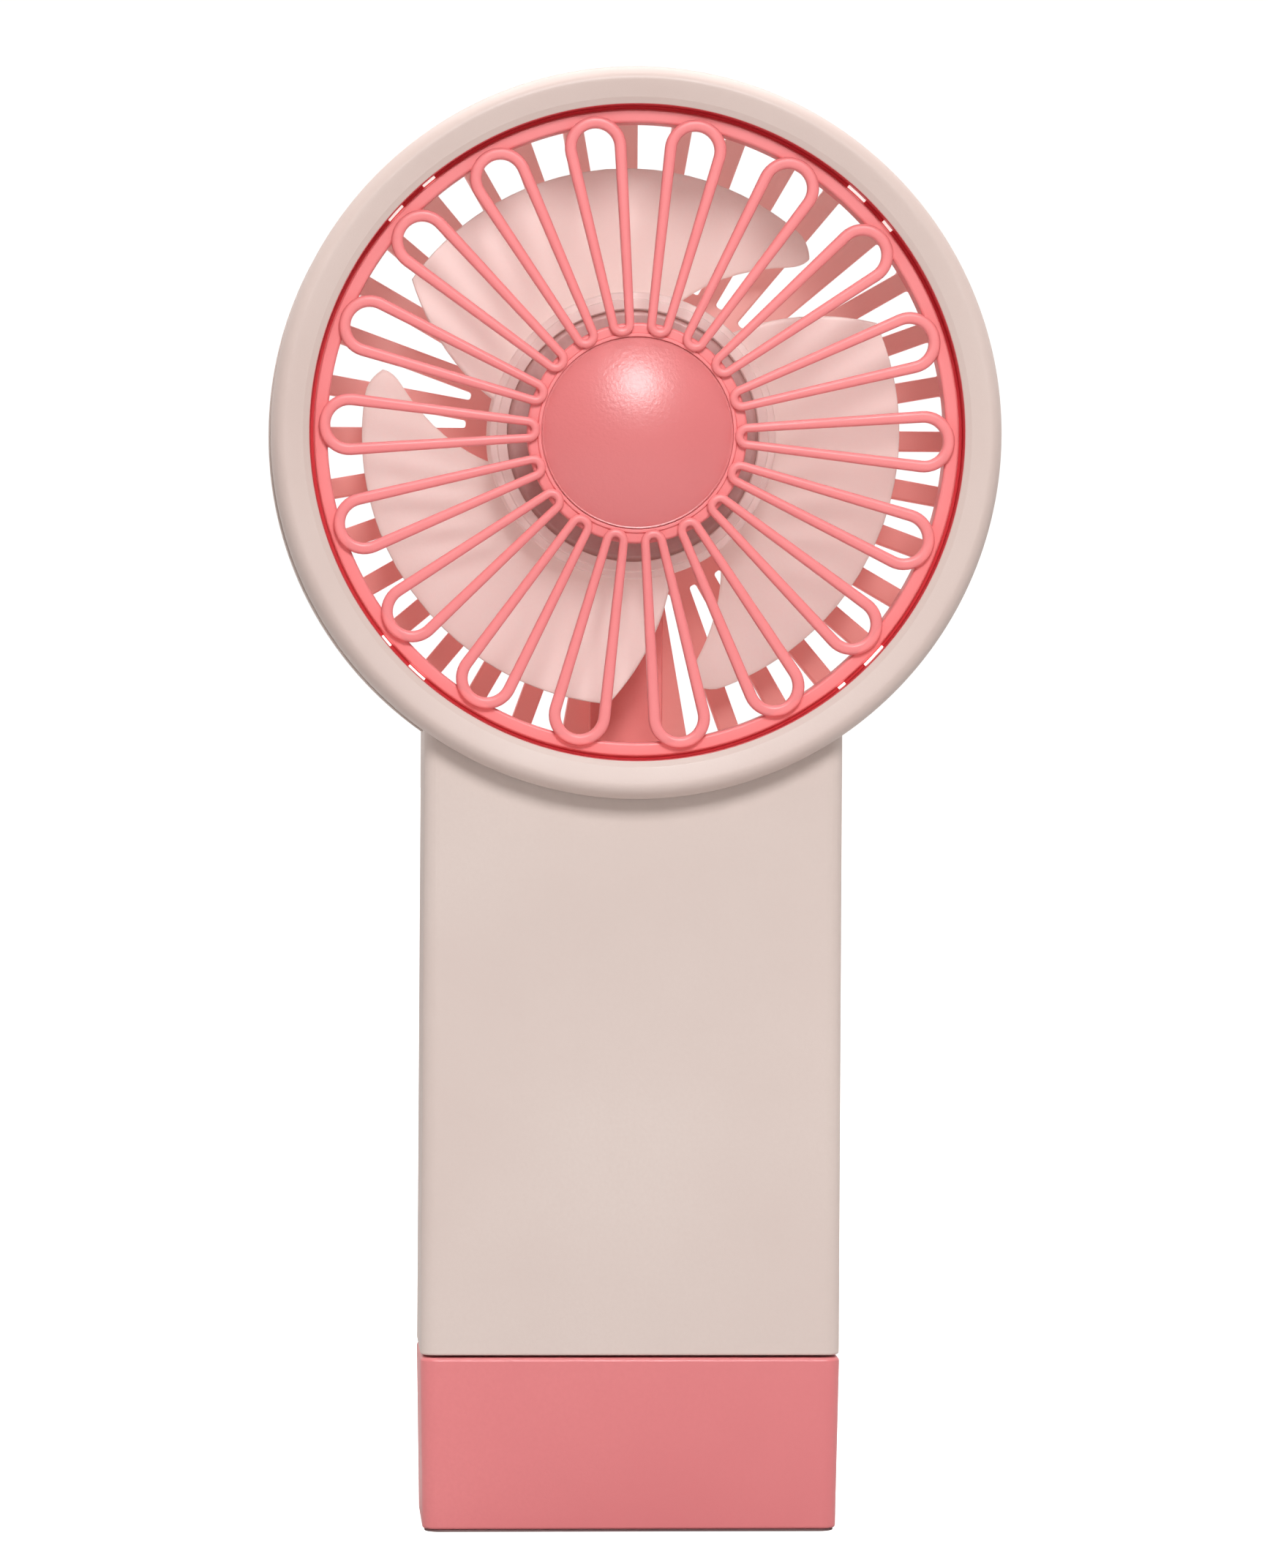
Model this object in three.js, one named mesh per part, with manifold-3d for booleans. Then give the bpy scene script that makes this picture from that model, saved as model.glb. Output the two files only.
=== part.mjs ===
// Handheld electric fan: a round fan head on a flat rectangular handle, standing on a short swivelling base.
// Millimetres, +Z up, the front of the fan faces -Y. The origin is the centre of the foot, on the table.
import * as THREE from "three";
import { mergeVertices } from "three/addons/utils/BufferGeometryUtils.js";
import Module from "manifold-3d";

const wasm = await Module();
wasm.setup();

// ---------------------------------------------------------------- driving dimensions

const HEAD_R = 48; // outside radius of the fan head
const HEAD_Z = 144; // height of the head's axis above the table
const HEAD_HALF = 16.5; // half the depth of the head
const HANDLE_TOP_W = 55.1; // handle width where it meets the head
const HANDLE_BOTTOM_W = 54.6; // handle width at the seam with the base
const HANDLE_HALF = 11; // half the depth of the handle
const HANDLE_Z0 = 23.2; // underside of the handle
const BASE_TOP_W = 55.3;
const BASE_BOTTOM_W = 54.4;
const BASE_HALF = 11.3; // half the depth of the base
const BASE_TOP = 22.9;
const BASE_Z0 = 0.8; // underside of the base's wall, just above the foot pad
const FOOT_TOP = 0.6; // thickness of the foot pad
const FOOT_INSET = 0.3; // the pad's edge stays this far inside the base's wall
const PLATE_TOP = 6.8; // upper face of the steel plate that weights the base
const WALL = 2; // wall of the handle and the base
const EDGE_R = 2; // radius of the upright edges of the handle and the base
const GAP = 0.3; // assembly clearance
const PARTING = 0.15; // each shell half stops this far from the mid plane

const DUCT_R = 44; // bore of the head, in which the impeller turns
const BEZEL_IN = 42.6; // inner radius of the bezel ring
const RIM_IN = 40.35; // front grille rim
const RIM_OUT = 42.3;
const PETALS = 18; // petal loops of the front grille
const PETAL_PHASE = 11.3; // degrees clockwise from the top to the first petal
const REAR_RIBS = 36; // radial ribs of the rear grille
const HUB_R = 18.95; // impeller hub
const BLADES = 3;
const BLADE_R = 35.6; // swept radius of the blades
const SHAFT_R = 1.5;

const PETAL_TIP = 37.5; // distance of the petals' round ends from the head's axis
const PETAL_ROOT = 14.5;
const PETAL_T = 1.8; // depth of a petal along Y
const GRILLE_FRONT = -14; // front faces, along Y
const GRILLE_BACK = -9.6;
const GRILLE_HUB_R = 14.4;
const CAP_R = 12.4; // domed cap over the grille's hub
const REAR_PLATE = 12.8; // front face of the rear grille
const REAR_BACK = 16; // back face of the rear grille
const COVER_FRONT = 8.2; // front face of the cable cover, behind the blades
const COVER_T = 0.8;
const DUCT_FOOT = HEAD_Z - 43.2; // lower end of the cable duct
const BLADE_FRONT = -2.6; // the blades' trailing edges, along Y
const BLADE_SWEEP = 9.6; // how much further back the leading edges are
const HUB_FRONT = -3.9; // the impeller hub's ends
const HUB_BACK = 9.8;
const ROTOR_R = 16.6;
const BEARING_R = 3;
const BORE_FIT = 0.15; // clearance round the pivot screw
const PIVOT_R = 5; // post that the base turns on
const DETENT_R = 8.5; // distance of the detent ball from the swivel axis

const FINE = 40; // segments of the large circles
const MEDIUM = 24;
const COARSE = 14; // segments of the small ones
const TINY = 8;

// ---------------------------------------------------------------- solids and geometry helpers

function solidFrom(geometry) {
  const bare = geometry.index ? geometry.toNonIndexed() : geometry.clone();
  bare.deleteAttribute("normal");
  bare.deleteAttribute("uv");
  const merged = mergeVertices(bare, 1e-4);
  const index = merged.index.array;
  const kept = [];
  for (let i = 0; i < index.length; i += 3) {
    const [a, b, c] = [index[i], index[i + 1], index[i + 2]];
    if (a !== b && b !== c && c !== a) kept.push(a, b, c);
  }
  const build = (tris) =>
    new wasm.Manifold(
      new wasm.Mesh({
        numProp: 3,
        vertProperties: Float32Array.from(merged.attributes.position.array),
        triVerts: Uint32Array.from(tris),
      }),
    );
  const made = build(kept);
  return made.volume() > 0 ? made : build(kept.reverse());
}

function geometryFrom(solid) {
  const mesh = solid.getMesh();
  const positions = new Float32Array(mesh.numVert * 3);
  for (let i = 0; i < mesh.numVert; i++)
    positions.set(mesh.vertProperties.subarray(i * mesh.numProp, i * mesh.numProp + 3), i * 3);
  const geometry = new THREE.BufferGeometry();
  geometry.setAttribute("position", new THREE.BufferAttribute(positions, 3));
  geometry.setIndex(new THREE.BufferAttribute(mesh.triVerts, 1));
  geometry.computeVertexNormals();
  return geometry;
}

const union = (...solids) => solids.reduce((a, b) => a.add(b));
const cut = (solid, ...tools) => tools.reduce((a, b) => a.subtract(b), solid);

// A box between two corners.
function box(x0, x1, y0, y1, z0, z1) {
  const g = new THREE.BoxGeometry(x1 - x0, y1 - y0, z1 - z0);
  return solidFrom(g.translate((x0 + x1) / 2, (y0 + y1) / 2, (z0 + z1) / 2));
}

// A closed profile of [radius, y] points turned round an axis along Y through (x, z).
function turnedY(profile, segments = FINE, x = 0, z = HEAD_Z) {
  const points = [...profile, profile[0]].map(([r, y]) => new THREE.Vector2(r, y));
  return solidFrom(new THREE.LatheGeometry(points, segments).translate(x, 0, z));
}

// The same round an axis along Z through (x, y): the profile is [radius, z].
function turnedZ(profile, segments = COARSE, x = 0, y = 0) {
  const points = [...profile, profile[0]].map(([r, z]) => new THREE.Vector2(r, z));
  return solidFrom(new THREE.LatheGeometry(points, segments).rotateX(Math.PI / 2).translate(x, y, 0));
}

const tubeProfile = (r0, r1, a, b) => [[r0, a], [r1, a], [r1, b], [r0, b]];
const rodY = (r, y0, y1, x, z, segments = COARSE) => turnedY(tubeProfile(0, r, y0, y1), segments, x, z);
const discY = (r, y0, y1, segments = FINE) => turnedY(tubeProfile(0, r, y0, y1), segments);
const rodZ = (r, z0, z1, x = 0, y = 0, segments = COARSE) =>
  turnedZ(tubeProfile(0, r, z0, z1), segments, x, y);

// A flat outline (x, z) given as a Shape, extruded from y0 to y1.
function plateY(shape, y0, y1, curveSegments = 8) {
  const g = new THREE.ExtrudeGeometry(shape, { depth: y1 - y0, bevelEnabled: false, curveSegments });
  return solidFrom(g.rotateX(Math.PI / 2).translate(0, y1, 0));
}

// A flat outline (x, y) extruded from z0 to z1.
function plateZ(shape, z0, z1, curveSegments = 3) {
  const g = new THREE.ExtrudeGeometry(shape, { depth: z1 - z0, bevelEnabled: false, curveSegments });
  return solidFrom(g.translate(0, 0, z0));
}

function roundedRect(w, h, r, cx = 0, cy = 0) {
  const [x, y] = [w / 2 - r, h / 2 - r];
  const shape = new THREE.Shape();
  shape.absarc(cx + x, cy + y, r, 0, Math.PI / 2);
  shape.absarc(cx - x, cy + y, r, Math.PI / 2, Math.PI);
  shape.absarc(cx - x, cy - y, r, Math.PI, 1.5 * Math.PI);
  shape.absarc(cx + x, cy - y, r, 1.5 * Math.PI, 2 * Math.PI);
  shape.closePath();
  return shape;
}

// A block of rounded-rectangle section whose width and depth change evenly from bottom to top.
function draftedBlock(w0, w1, d0, d1, r, z0, z1) {
  const g = new THREE.ExtrudeGeometry(roundedRect(w1, d1, r), {
    depth: z1 - z0,
    bevelEnabled: false,
    curveSegments: 3,
  });
  const p = g.attributes.position;
  for (let i = 0; i < p.count; i++) {
    const t = p.getZ(i) / (z1 - z0);
    p.setX(i, (p.getX(i) / w1) * (w0 + (w1 - w0) * t));
    p.setY(i, (p.getY(i) / d1) * (d0 + (d1 - d0) * t));
  }
  return solidFrom(g.translate(0, 0, z0));
}

// A wire: a round section carried along a smooth curve through the given points.
function wire(points, radius, steps) {
  const curve = new THREE.CatmullRomCurve3(points.map((p) => new THREE.Vector3(...p)));
  const section = new THREE.Shape().absarc(0, 0, radius, 0, 2 * Math.PI);
  return solidFrom(
    new THREE.ExtrudeGeometry(section, { extrudePath: curve, steps, curveSegments: 3, bevelEnabled: false }),
  );
}

// Degrees clockwise from the top, seen from the front, to a point (x, z) of the head.
function onHead(degrees, r) {
  const a = THREE.MathUtils.degToRad(degrees);
  return [r * Math.sin(a), HEAD_Z + r * Math.cos(a)];
}

// ---------------------------------------------------------------- materials

const finish = (color, roughness, metalness = 0) =>
  new THREE.MeshStandardMaterial({ color, roughness, metalness });
const palePink = finish(0xe3d2cb, 0.5);
const coral = finish(0xe4797c, 0.45);
const frosted = finish(0xf0cfc8, 0.4);
const steel = finish(0x9a9a9c, 0.35, 1);
const brass = finish(0xb59a5a, 0.35, 1);
const copper = finish(0xb4693a, 0.4, 1);
const magnetGrey = finish(0x3d3a3a, 0.7);
const boardGreen = finish(0x2f6b46, 0.6);
const batterySilver = finish(0xb9bcc0, 0.4, 0.6);
const blackPlastic = finish(0x242427, 0.5);
const rubberGrey = finish(0x8d6f70, 0.9);
const lensWhite = finish(0xf4f1ec, 0.3);
const wireRed = finish(0xb5322c, 0.5);
const wireBlack = finish(0x1d1d1f, 0.5);

const fan = new THREE.Group();

function add(name, solid, material, parent = fan) {
  const mesh = new THREE.Mesh(geometryFrom(solid), material);
  mesh.name = name;
  parent.add(mesh);
  return mesh;
}

// ---------------------------------------------------------------- bezel and front grille

// Points of a quarter ellipse about (cr, cy), from one axis to the next.
function quarter(cr, cy, rr, ry, from, steps = 3) {
  return Array.from({ length: steps + 1 }, (_, i) => {
    const a = THREE.MathUtils.degToRad(from + (90 * i) / steps);
    return [cr + rr * Math.cos(a), cy + ry * Math.sin(a)];
  });
}

// A soft D section with a spigot behind it that enters the front shell.
function bezelRing() {
  const crest = 45.6;
  const back = -HANDLE_HALF - GAP;
  const outer = quarter(crest, -13, HEAD_R - crest, HEAD_HALF - 13, 270);
  const inner = quarter(crest, -14.9, crest - BEZEL_IN, HEAD_HALF - 14.9, 180);
  return turnedY([
    ...inner.slice(0, -1),
    ...outer,
    [HEAD_R, back],
    [45.2, back],
    [45.2, -8.5],
    [44.2, -8.5],
    [44.2, back],
    [BEZEL_IN, back],
  ]);
}

// One petal: a tapered loop, wide at the rim and narrow at the hub, as a Shape with its opening.
function petalOutline(path, rOut, endOut, rIn, endIn) {
  const lean = Math.asin((rOut - rIn) / (endOut - endIn));
  path.absarc(0, endOut, rOut, -lean, Math.PI + lean);
  path.absarc(0, endIn, rIn, Math.PI + lean, 2 * Math.PI - lean);
  path.closePath();
  return path;
}

function petal(index) {
  const shape = petalOutline(new THREE.Shape(), 4, PETAL_TIP, 1.65, PETAL_ROOT);
  shape.holes.push(petalOutline(new THREE.Path(), 2.5, PETAL_TIP, 0.5, PETAL_ROOT - GAP));
  const g = new THREE.ExtrudeGeometry(shape, { depth: PETAL_T, bevelEnabled: false, curveSegments: 3 });
  const turn = THREE.MathUtils.degToRad(PETAL_PHASE + (360 / PETALS) * index);
  g.rotateX(Math.PI / 2).rotateY(turn).translate(0, GRILLE_FRONT + PETAL_T / 2, HEAD_Z);
  return solidFrom(g);
}

// A small hook on the back of the rim that snaps behind the bezel ring.
function snapHook(degrees) {
  const g = new THREE.BoxGeometry(5, 1.3, 1.6).translate(0, GRILLE_BACK - 0.65, RIM_OUT + 0.4);
  return solidFrom(g.rotateY(THREE.MathUtils.degToRad(degrees)).translate(0, 0, HEAD_Z));
}

function frontGrille() {
  const rim = turnedY(tubeProfile(RIM_IN, RIM_OUT, GRILLE_FRONT, GRILLE_BACK));
  const hub = turnedY(tubeProfile(2.3, GRILLE_HUB_R, GRILLE_FRONT + 0.2, -12.2), MEDIUM);
  const petals = Array.from({ length: PETALS }, (_, i) => petal(i));
  const hooks = [45.5, 135.5, 225.5, 315.5].map(snapHook);
  return union(rim, hub, ...petals, ...hooks);
}

// A shallow dome over the grille's hub, with a stem that presses into the hub's hole.
function grilleCap() {
  const edge = GRILLE_FRONT + 0.05;
  const rise = HEAD_HALF + GAP + edge; // the crown is as far forward as the rear cap is back
  const sphere = (CAP_R * CAP_R + rise * rise) / (2 * rise);
  const dome = Array.from({ length: 5 }, (_, i) => {
    const a = (Math.asin(CAP_R / sphere) * i) / 4;
    return [sphere * Math.sin(a), edge - rise + sphere * (1 - Math.cos(a))];
  });
  const seat = edge + 0.05;
  return turnedY([...dome, [CAP_R, seat], [2, seat], [2, -11.6], [0, -11.6]], MEDIUM);
}

// ---------------------------------------------------------------- shells

const shellScrews = [[-21.8, 33], [21.8, 33], [-21.8, 89], [21.8, 89]];
const boardScrews = [[-15.5, 64], [15.5, 86]];
const BUTTON = { x: 0, z: 82, r: 5 };
const LED = { x: 0, z: 70.5 };
const USB_Z = 72;
const USB_Y = 6.4;
const CAVITY_TOP = 95.5;
const FLOOR = 2.5;
const BOARD_Y = 3.2; // front face of the circuit board
const BOARD_T = 1.2;

function handleBlock() {
  const depth = 2 * HANDLE_HALF;
  return draftedBlock(HANDLE_BOTTOM_W, HANDLE_TOP_W, depth, depth, EDGE_R, HANDLE_Z0, 106);
}

function handleCavity() {
  const depth = 2 * (HANDLE_HALF - WALL);
  const [below, above] = [HANDLE_BOTTOM_W - 2 * WALL, HANDLE_TOP_W - 2 * WALL];
  return draftedBlock(below, above, depth, depth, EDGE_R / 2, HANDLE_Z0 + FLOOR, CAVITY_TOP);
}

// Hole for the pivot post and shallow dimples for the detent ball, under the handle.
function floorCuts() {
  const dimples = [[DETENT_R, 0], [-DETENT_R, 0], [0, DETENT_R], [0, -DETENT_R]].map(([x, y]) =>
    solidFrom(new THREE.SphereGeometry(1.1, 8, 6).translate(x, y, HANDLE_Z0 - 0.55)));
  return [rodZ(PIVOT_R + GAP, HANDLE_Z0 - 1, HANDLE_Z0 + FLOOR + 1), ...dimples];
}

function frontShell() {
  const ring = discY(HEAD_R, -HANDLE_HALF, -PARTING);
  const frontHalf = box(-40, 40, -40, -PARTING, 0, 200);
  const body = ring.add(handleBlock().intersect(frontHalf));
  const hollow = cut(
    body, discY(45.5, -12, -8.2), discY(DUCT_R, -12, 1), handleCavity(), ...floorCuts());
  const bosses = shellScrews.map(([x, z]) => rodY(3, -HANDLE_HALF + 1, -0.3, x, z, 12));
  const pilots = shellScrews.map(([x, z]) => rodY(1.15, -7.5, 0, x, z, TINY));
  return cut(union(hollow, ...bosses), ...pilots);
}

// Bosses and counterbored holes for the four screws that close the shells from behind.
function rearBosses() {
  const posts = shellScrews.map(([x, z]) => rodY(3.4, 0.3, HANDLE_HALF - 1, x, z, 12));
  const supports = boardScrews.map(([x, z]) => rodY(2.4, BOARD_Y + BOARD_T + 0.1, 10, x, z, 12));
  return [...posts, ...supports];
}

function rearHoles() {
  const shanks = shellScrews.map(([x, z]) => rodY(1.4, 0, 12, x, z, TINY));
  const heads = shellScrews.map(([x, z]) => rodY(2.6, 5, 12, x, z, 12));
  const pilots = boardScrews.map(([x, z]) => rodY(1.1, BOARD_Y, 8.5, x, z, TINY));
  return [...shanks, ...heads, ...pilots];
}

function usbOutline(w, h, r) {
  return roundedRect(w, h, r, USB_Y, USB_Z);
}

// A (y, z) outline extruded along X.
function barX(shape, x0, x1) {
  const g = new THREE.ExtrudeGeometry(shape, { depth: x1 - x0, bevelEnabled: false, curveSegments: 3 });
  g.applyMatrix4(new THREE.Matrix4().makeBasis(
    new THREE.Vector3(0, 1, 0), new THREE.Vector3(0, 0, 1), new THREE.Vector3(1, 0, 0)));
  return solidFrom(g.translate(x0, 0, 0));
}

function rearShell() {
  const edge = quarter(46.6, 13.3, HEAD_R - 46.6, HEAD_HALF - 13.3, 0);
  const ring = turnedY([
    [DUCT_R, PARTING], [HEAD_R, PARTING], ...edge, [45.6, HEAD_HALF], [45.6, 12.5], [DUCT_R, 12.5]]);
  const rearHalf = box(-40, 40, PARTING, 40, 0, 200);
  const handle = cut(handleBlock().intersect(rearHalf), discY(DUCT_R + 1, -1, 20));
  const hollow = cut(ring.add(handle), handleCavity(), ...floorCuts());
  const cable = box(-3, 3, 7.4, 10.5, CAVITY_TOP - 1, 101);
  const button = rodY(BUTTON.r + GAP, 8, 12, BUTTON.x, BUTTON.z);
  const lens = rodY(1.3, 8, 12, LED.x, LED.z, 12);
  const port = barX(usbOutline(3.8, 9.5, 1.85), 24, 29);
  return cut(union(hollow, ...rearBosses()), ...rearHoles(), cable, button, lens, port);
}

// A pan-head screw pointing towards -Y: head from y to y + h, shank in front of it.
function screwY(x, z, y, headR, headH, shankR, length) {
  return rodY(headR, y, y + headH, x, z, 12).add(rodY(shankR, y - length, y + 0.1, x, z, TINY));
}

// ---------------------------------------------------------------- rear grille

// The opening between two neighbouring ribs of constant width, as a hole of the grille's plate.
function rearSlot(degrees) {
  const halfRib = 1.35;
  const [inner, outer] = [21.6, 43.4];
  const halfPitch = Math.PI / REAR_RIBS;
  const half = (r) => Math.asin(Math.sin(halfPitch) - halfRib / r);
  const centre = THREE.MathUtils.degToRad(degrees);
  const at = (r, a) => new THREE.Vector2(r * Math.sin(centre + a), r * Math.cos(centre + a));
  return new THREE.Path([
    at(inner, -half(inner)),
    at(outer, -half(outer)),
    at(outer, half(outer)),
    at(inner, half(inner)),
  ]);
}

const DUCT_HALF = 4.8; // half the width of the cable duct at the bottom of the rear grille
const DUCT_HEAD_R = 20.2; // the duct ends this far from the head's axis
const motorScrews = [30, 150, 270].map((a) => onHead(a, 7));

function rearGrille() {
  const shape = new THREE.Shape().absarc(0, 0, 45.3, 0, 2 * Math.PI);
  const pitch = 360 / REAR_RIBS;
  for (let i = 0; i < REAR_RIBS; i++) {
    const degrees = pitch * (i + 0.5);
    if (Math.abs(degrees - 180) > pitch) shape.holes.push(rearSlot(degrees));
  }
  const g = new THREE.ExtrudeGeometry(shape, {
    depth: REAR_BACK - REAR_PLATE,
    bevelEnabled: false,
    curveSegments: FINE,
  });
  const plate = solidFrom(g.rotateX(Math.PI / 2).translate(0, REAR_BACK, HEAD_Z));
  const duct = cut(
    box(-DUCT_HALF, DUCT_HALF, COVER_FRONT + COVER_T + 0.2, REAR_PLATE + 0.5, DUCT_FOOT, HEAD_Z - 12),
    box(-DUCT_HALF + 1.2, DUCT_HALF - 1.2, COVER_FRONT, REAR_PLATE, DUCT_FOOT - 1, HEAD_Z - 10),
    discY(DUCT_HEAD_R, 0, REAR_PLATE - 0.05));
  const holes = motorScrews.map(([x, z]) => rodY(1.2, 12, 17, x, z, TINY));
  const leadHole = box(-3, 3, 10, 14, HEAD_Z - 22, HEAD_Z - 11.2);
  const capSeat = discY(14, 14.3, 17, MEDIUM);
  return cut(union(plate, duct), capSeat, rodY(4.3, 12, 17, 0, HEAD_Z), ...holes, leadHole);
}

// A plate that closes the front of the cable duct.
function cableCover() {
  const top = HEAD_Z - DUCT_HEAD_R - 0.2;
  return box(-DUCT_HALF, DUCT_HALF, COVER_FRONT, COVER_FRONT + COVER_T, DUCT_FOOT, top);
}

// A shallow cap that hides the motor screws at the back.
function rearHubCap() {
  const crown = quarter(0, 15.9, 13.7, HEAD_HALF + GAP - 15.9, 0);
  return turnedY([[12.7, 14.6], [13.7, 14.6], ...crown, [0, 15.6], [12.7, 15.6]], MEDIUM);
}

// ---------------------------------------------------------------- motor and impeller

const BLADE_T = 1.3;
const BLADE_ROOT = HUB_R - 0.5;

// One blade: a box bent into a helical sheet between its trailing and leading edges.
// Angles are degrees clockwise from the top; the blade turns clockwise, leading edge further back.
function blade(index) {
  const g = new THREE.BoxGeometry(1, 1, 1, 10, 4, 1);
  const p = g.attributes.position;
  for (let i = 0; i < p.count; i++) {
    const along = p.getX(i) + 0.5;
    const out = p.getY(i) + 0.5;
    const tip = BLADE_R - 1.6 * Math.pow(Math.max(0, along - 0.9) / 0.1, 2);
    const r = BLADE_ROOT + out * (tip - BLADE_ROOT);
    const trailing = -75.9 + 1.25 * (r - 19);
    const leading = 18.6 + 1.9 * (r - BLADE_ROOT) - 3.1 * Math.pow(Math.max(0, r - 31) / 3, 2);
    const [x, z] = onHead(trailing + (leading - trailing) * along + (360 / BLADES) * index, r);
    const thin = 1 - 0.5 * out;
    p.setXYZ(i, x, BLADE_FRONT + BLADE_SWEEP * along + p.getZ(i) * BLADE_T * thin, z);
  }
  return solidFrom(g);
}

function impeller() {
  const bore = ROTOR_R + 0.25;
  const hub = turnedY(tubeProfile(bore, HUB_R, HUB_FRONT, HUB_BACK));
  const blades = Array.from({ length: BLADES }, (_, i) => blade(i));
  return cut(union(hub, ...blades), discY(bore, HUB_FRONT - 1, HUB_BACK + 1));
}

function rotorCup() {
  const bore = SHAFT_R + 0.05;
  const inside = ROTOR_R - 0.7;
  return turnedY([
    [bore, -3.4],
    [inside, -3.4],
    [ROTOR_R, -2.7],
    [ROTOR_R, 9.4],
    [inside, 9.4],
    [inside, -2.6],
    [3.4, -2.6],
    [3.4, -0.9],
    [bore, -0.9],
  ], MEDIUM);
}

// Laminated core: a ring with six T-shaped teeth.
function statorCore() {
  const teeth = 6;
  const reach = 13.9;
  let core = turnedY(tubeProfile(4.15, 6.6, 2.4, 7.2), MEDIUM);
  for (let i = 0; i < teeth; i++) {
    const a = (2 * Math.PI * i) / teeth;
    const arm = new THREE.BoxGeometry(2.2, 4.8, 7).translate(0, 4.8, 9.4);
    const shoe = new THREE.Shape();
    shoe.absarc(0, 0, reach, Math.PI / 2 - 0.44, Math.PI / 2 + 0.44);
    shoe.absarc(0, 0, reach - 1.4, Math.PI / 2 + 0.4, Math.PI / 2 - 0.4, true);
    shoe.closePath();
    const tip = new THREE.ExtrudeGeometry(shoe, { depth: 4.8, bevelEnabled: false, curveSegments: 3 });
    tip.rotateX(Math.PI / 2).translate(0, 7.2, 0);
    const tooth = solidFrom(arm).add(solidFrom(tip));
    core = core.add(solidFrom(geometryFrom(tooth).rotateY(a).translate(0, 0, HEAD_Z)));
  }
  return core;
}

// A rectangular winding round one tooth.
function statorCoil(index) {
  const corners = (w, h) =>
    [[-w, -h], [w, -h], [w, h], [-w, h]].map(([x, y]) => new THREE.Vector2(x, y));
  const outline = new THREE.Shape(corners(2.45, 3.7));
  outline.holes.push(new THREE.Path(corners(1.4, 2.7)));
  const g = new THREE.ExtrudeGeometry(outline, { depth: 4.6, bevelEnabled: false });
  g.translate(0, 4.8, 7.3).rotateY((Math.PI / 3) * index).translate(0, 0, HEAD_Z);
  return solidFrom(g);
}

function bearingTube() {
  const bore = BEARING_R + 0.05;
  const tube = turnedY([
    [bore, -0.5],
    [4, -0.5],
    [4, 11.3],
    [9, 11.3],
    [9, 12.5],
    [4, 12.5],
    [4, 14],
    [bore, 14],
  ], MEDIUM);
  return cut(tube, ...motorScrews.map(([x, z]) => rodY(1.2, 11, 13, x, z, TINY)));
}

function buildHead() {
  add("bezel_ring", bezelRing(), palePink);
  add("front_grille", frontGrille(), coral);
  add("grille_cap", grilleCap(), coral);
  add("rear_grille", rearGrille(), coral);
  add("cable_cover", cableCover(), coral);
  add("rear_hub_cap", rearHubCap(), coral);
  add("bearing_tube", bearingTube(), brass);
  const bearing = (y) => turnedY(tubeProfile(SHAFT_R + 0.06, BEARING_R, y, y + 2.5), COARSE);
  add("bearing_front", bearing(-0.3), steel);
  add("bearing_rear", bearing(10.2), steel);
  add("stator_core", statorCore(), steel);
  for (let i = 0; i < 6; i++) add(`stator_coil_${i + 1}`, statorCoil(i), copper);
  add("motor_board", turnedY(tubeProfile(4.3, 13.5, 9.6, 10.6), MEDIUM), boardGreen);
  motorScrews.forEach(([x, z], i) =>
    add(`motor_screw_${i + 1}`, screwY(x, z, 14.35, 1.9, 1.1, 0.95, 2.9), steel));
}

function buildRotor() {
  add("impeller", impeller(), frosted);
  add("rotor_cup", rotorCup(), steel);
  add("rotor_magnet", turnedY(tubeProfile(14.3, 15.7, 0, 9.2), MEDIUM), magnetGrey);
  add("motor_shaft", turnedY(tubeProfile(0, SHAFT_R, -3.3, 13.9), COARSE), steel);
  add("shaft_clip", turnedY(tubeProfile(SHAFT_R + 0.05, 2.7, 13, 13.5), COARSE), steel);
}

// ---------------------------------------------------------------- handle and electrics

function usbSocket() {
  const outside = barX(usbOutline(3.2, 8.9, 1.55), 18.4, 27);
  const inside = barX(usbOutline(2.6, 8.3, 1.25), 20, 28);
  const tongue = box(19.5, 25.9, USB_Y - 0.35, USB_Y + 0.35, USB_Z - 3.35, USB_Z + 3.35);
  return cut(outside, inside).add(tongue);
}

function circuitBoard() {
  const board = plateY(roundedRect(35.8, 32, 1.5, 0, 75), BOARD_Y, BOARD_Y + BOARD_T, 2);
  return cut(board, ...boardScrews.map(([x, z]) => rodY(1.3, BOARD_Y - 1, BOARD_Y + 2, x, z, TINY)));
}

// The switch body has a well that its plunger sinks into.
function tactSwitch() {
  const { x, z } = BUTTON;
  return cut(box(x - 3, x + 3, 4.6, 6.4, z - 3, z + 3), rodY(1.75, 5.4, 7, x, z));
}

// The button is a flanged disc: its crown shows in the rear shell and its stem meets the plunger.
function powerButton() {
  const { x, z, r } = BUTTON;
  const crown = quarter(r - 0.6, 11.2, 0.6, 0.6, 0);
  const stem = [[0, 7.25], [1.6, 7.25], [1.6, 7.9]];
  const flange = [[r + 1, 7.9], [r + 1, 8.6], [r, 8.6]];
  return turnedY([...stem, ...flange, ...crown, [0, 11.8]], 20, x, z);
}

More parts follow.
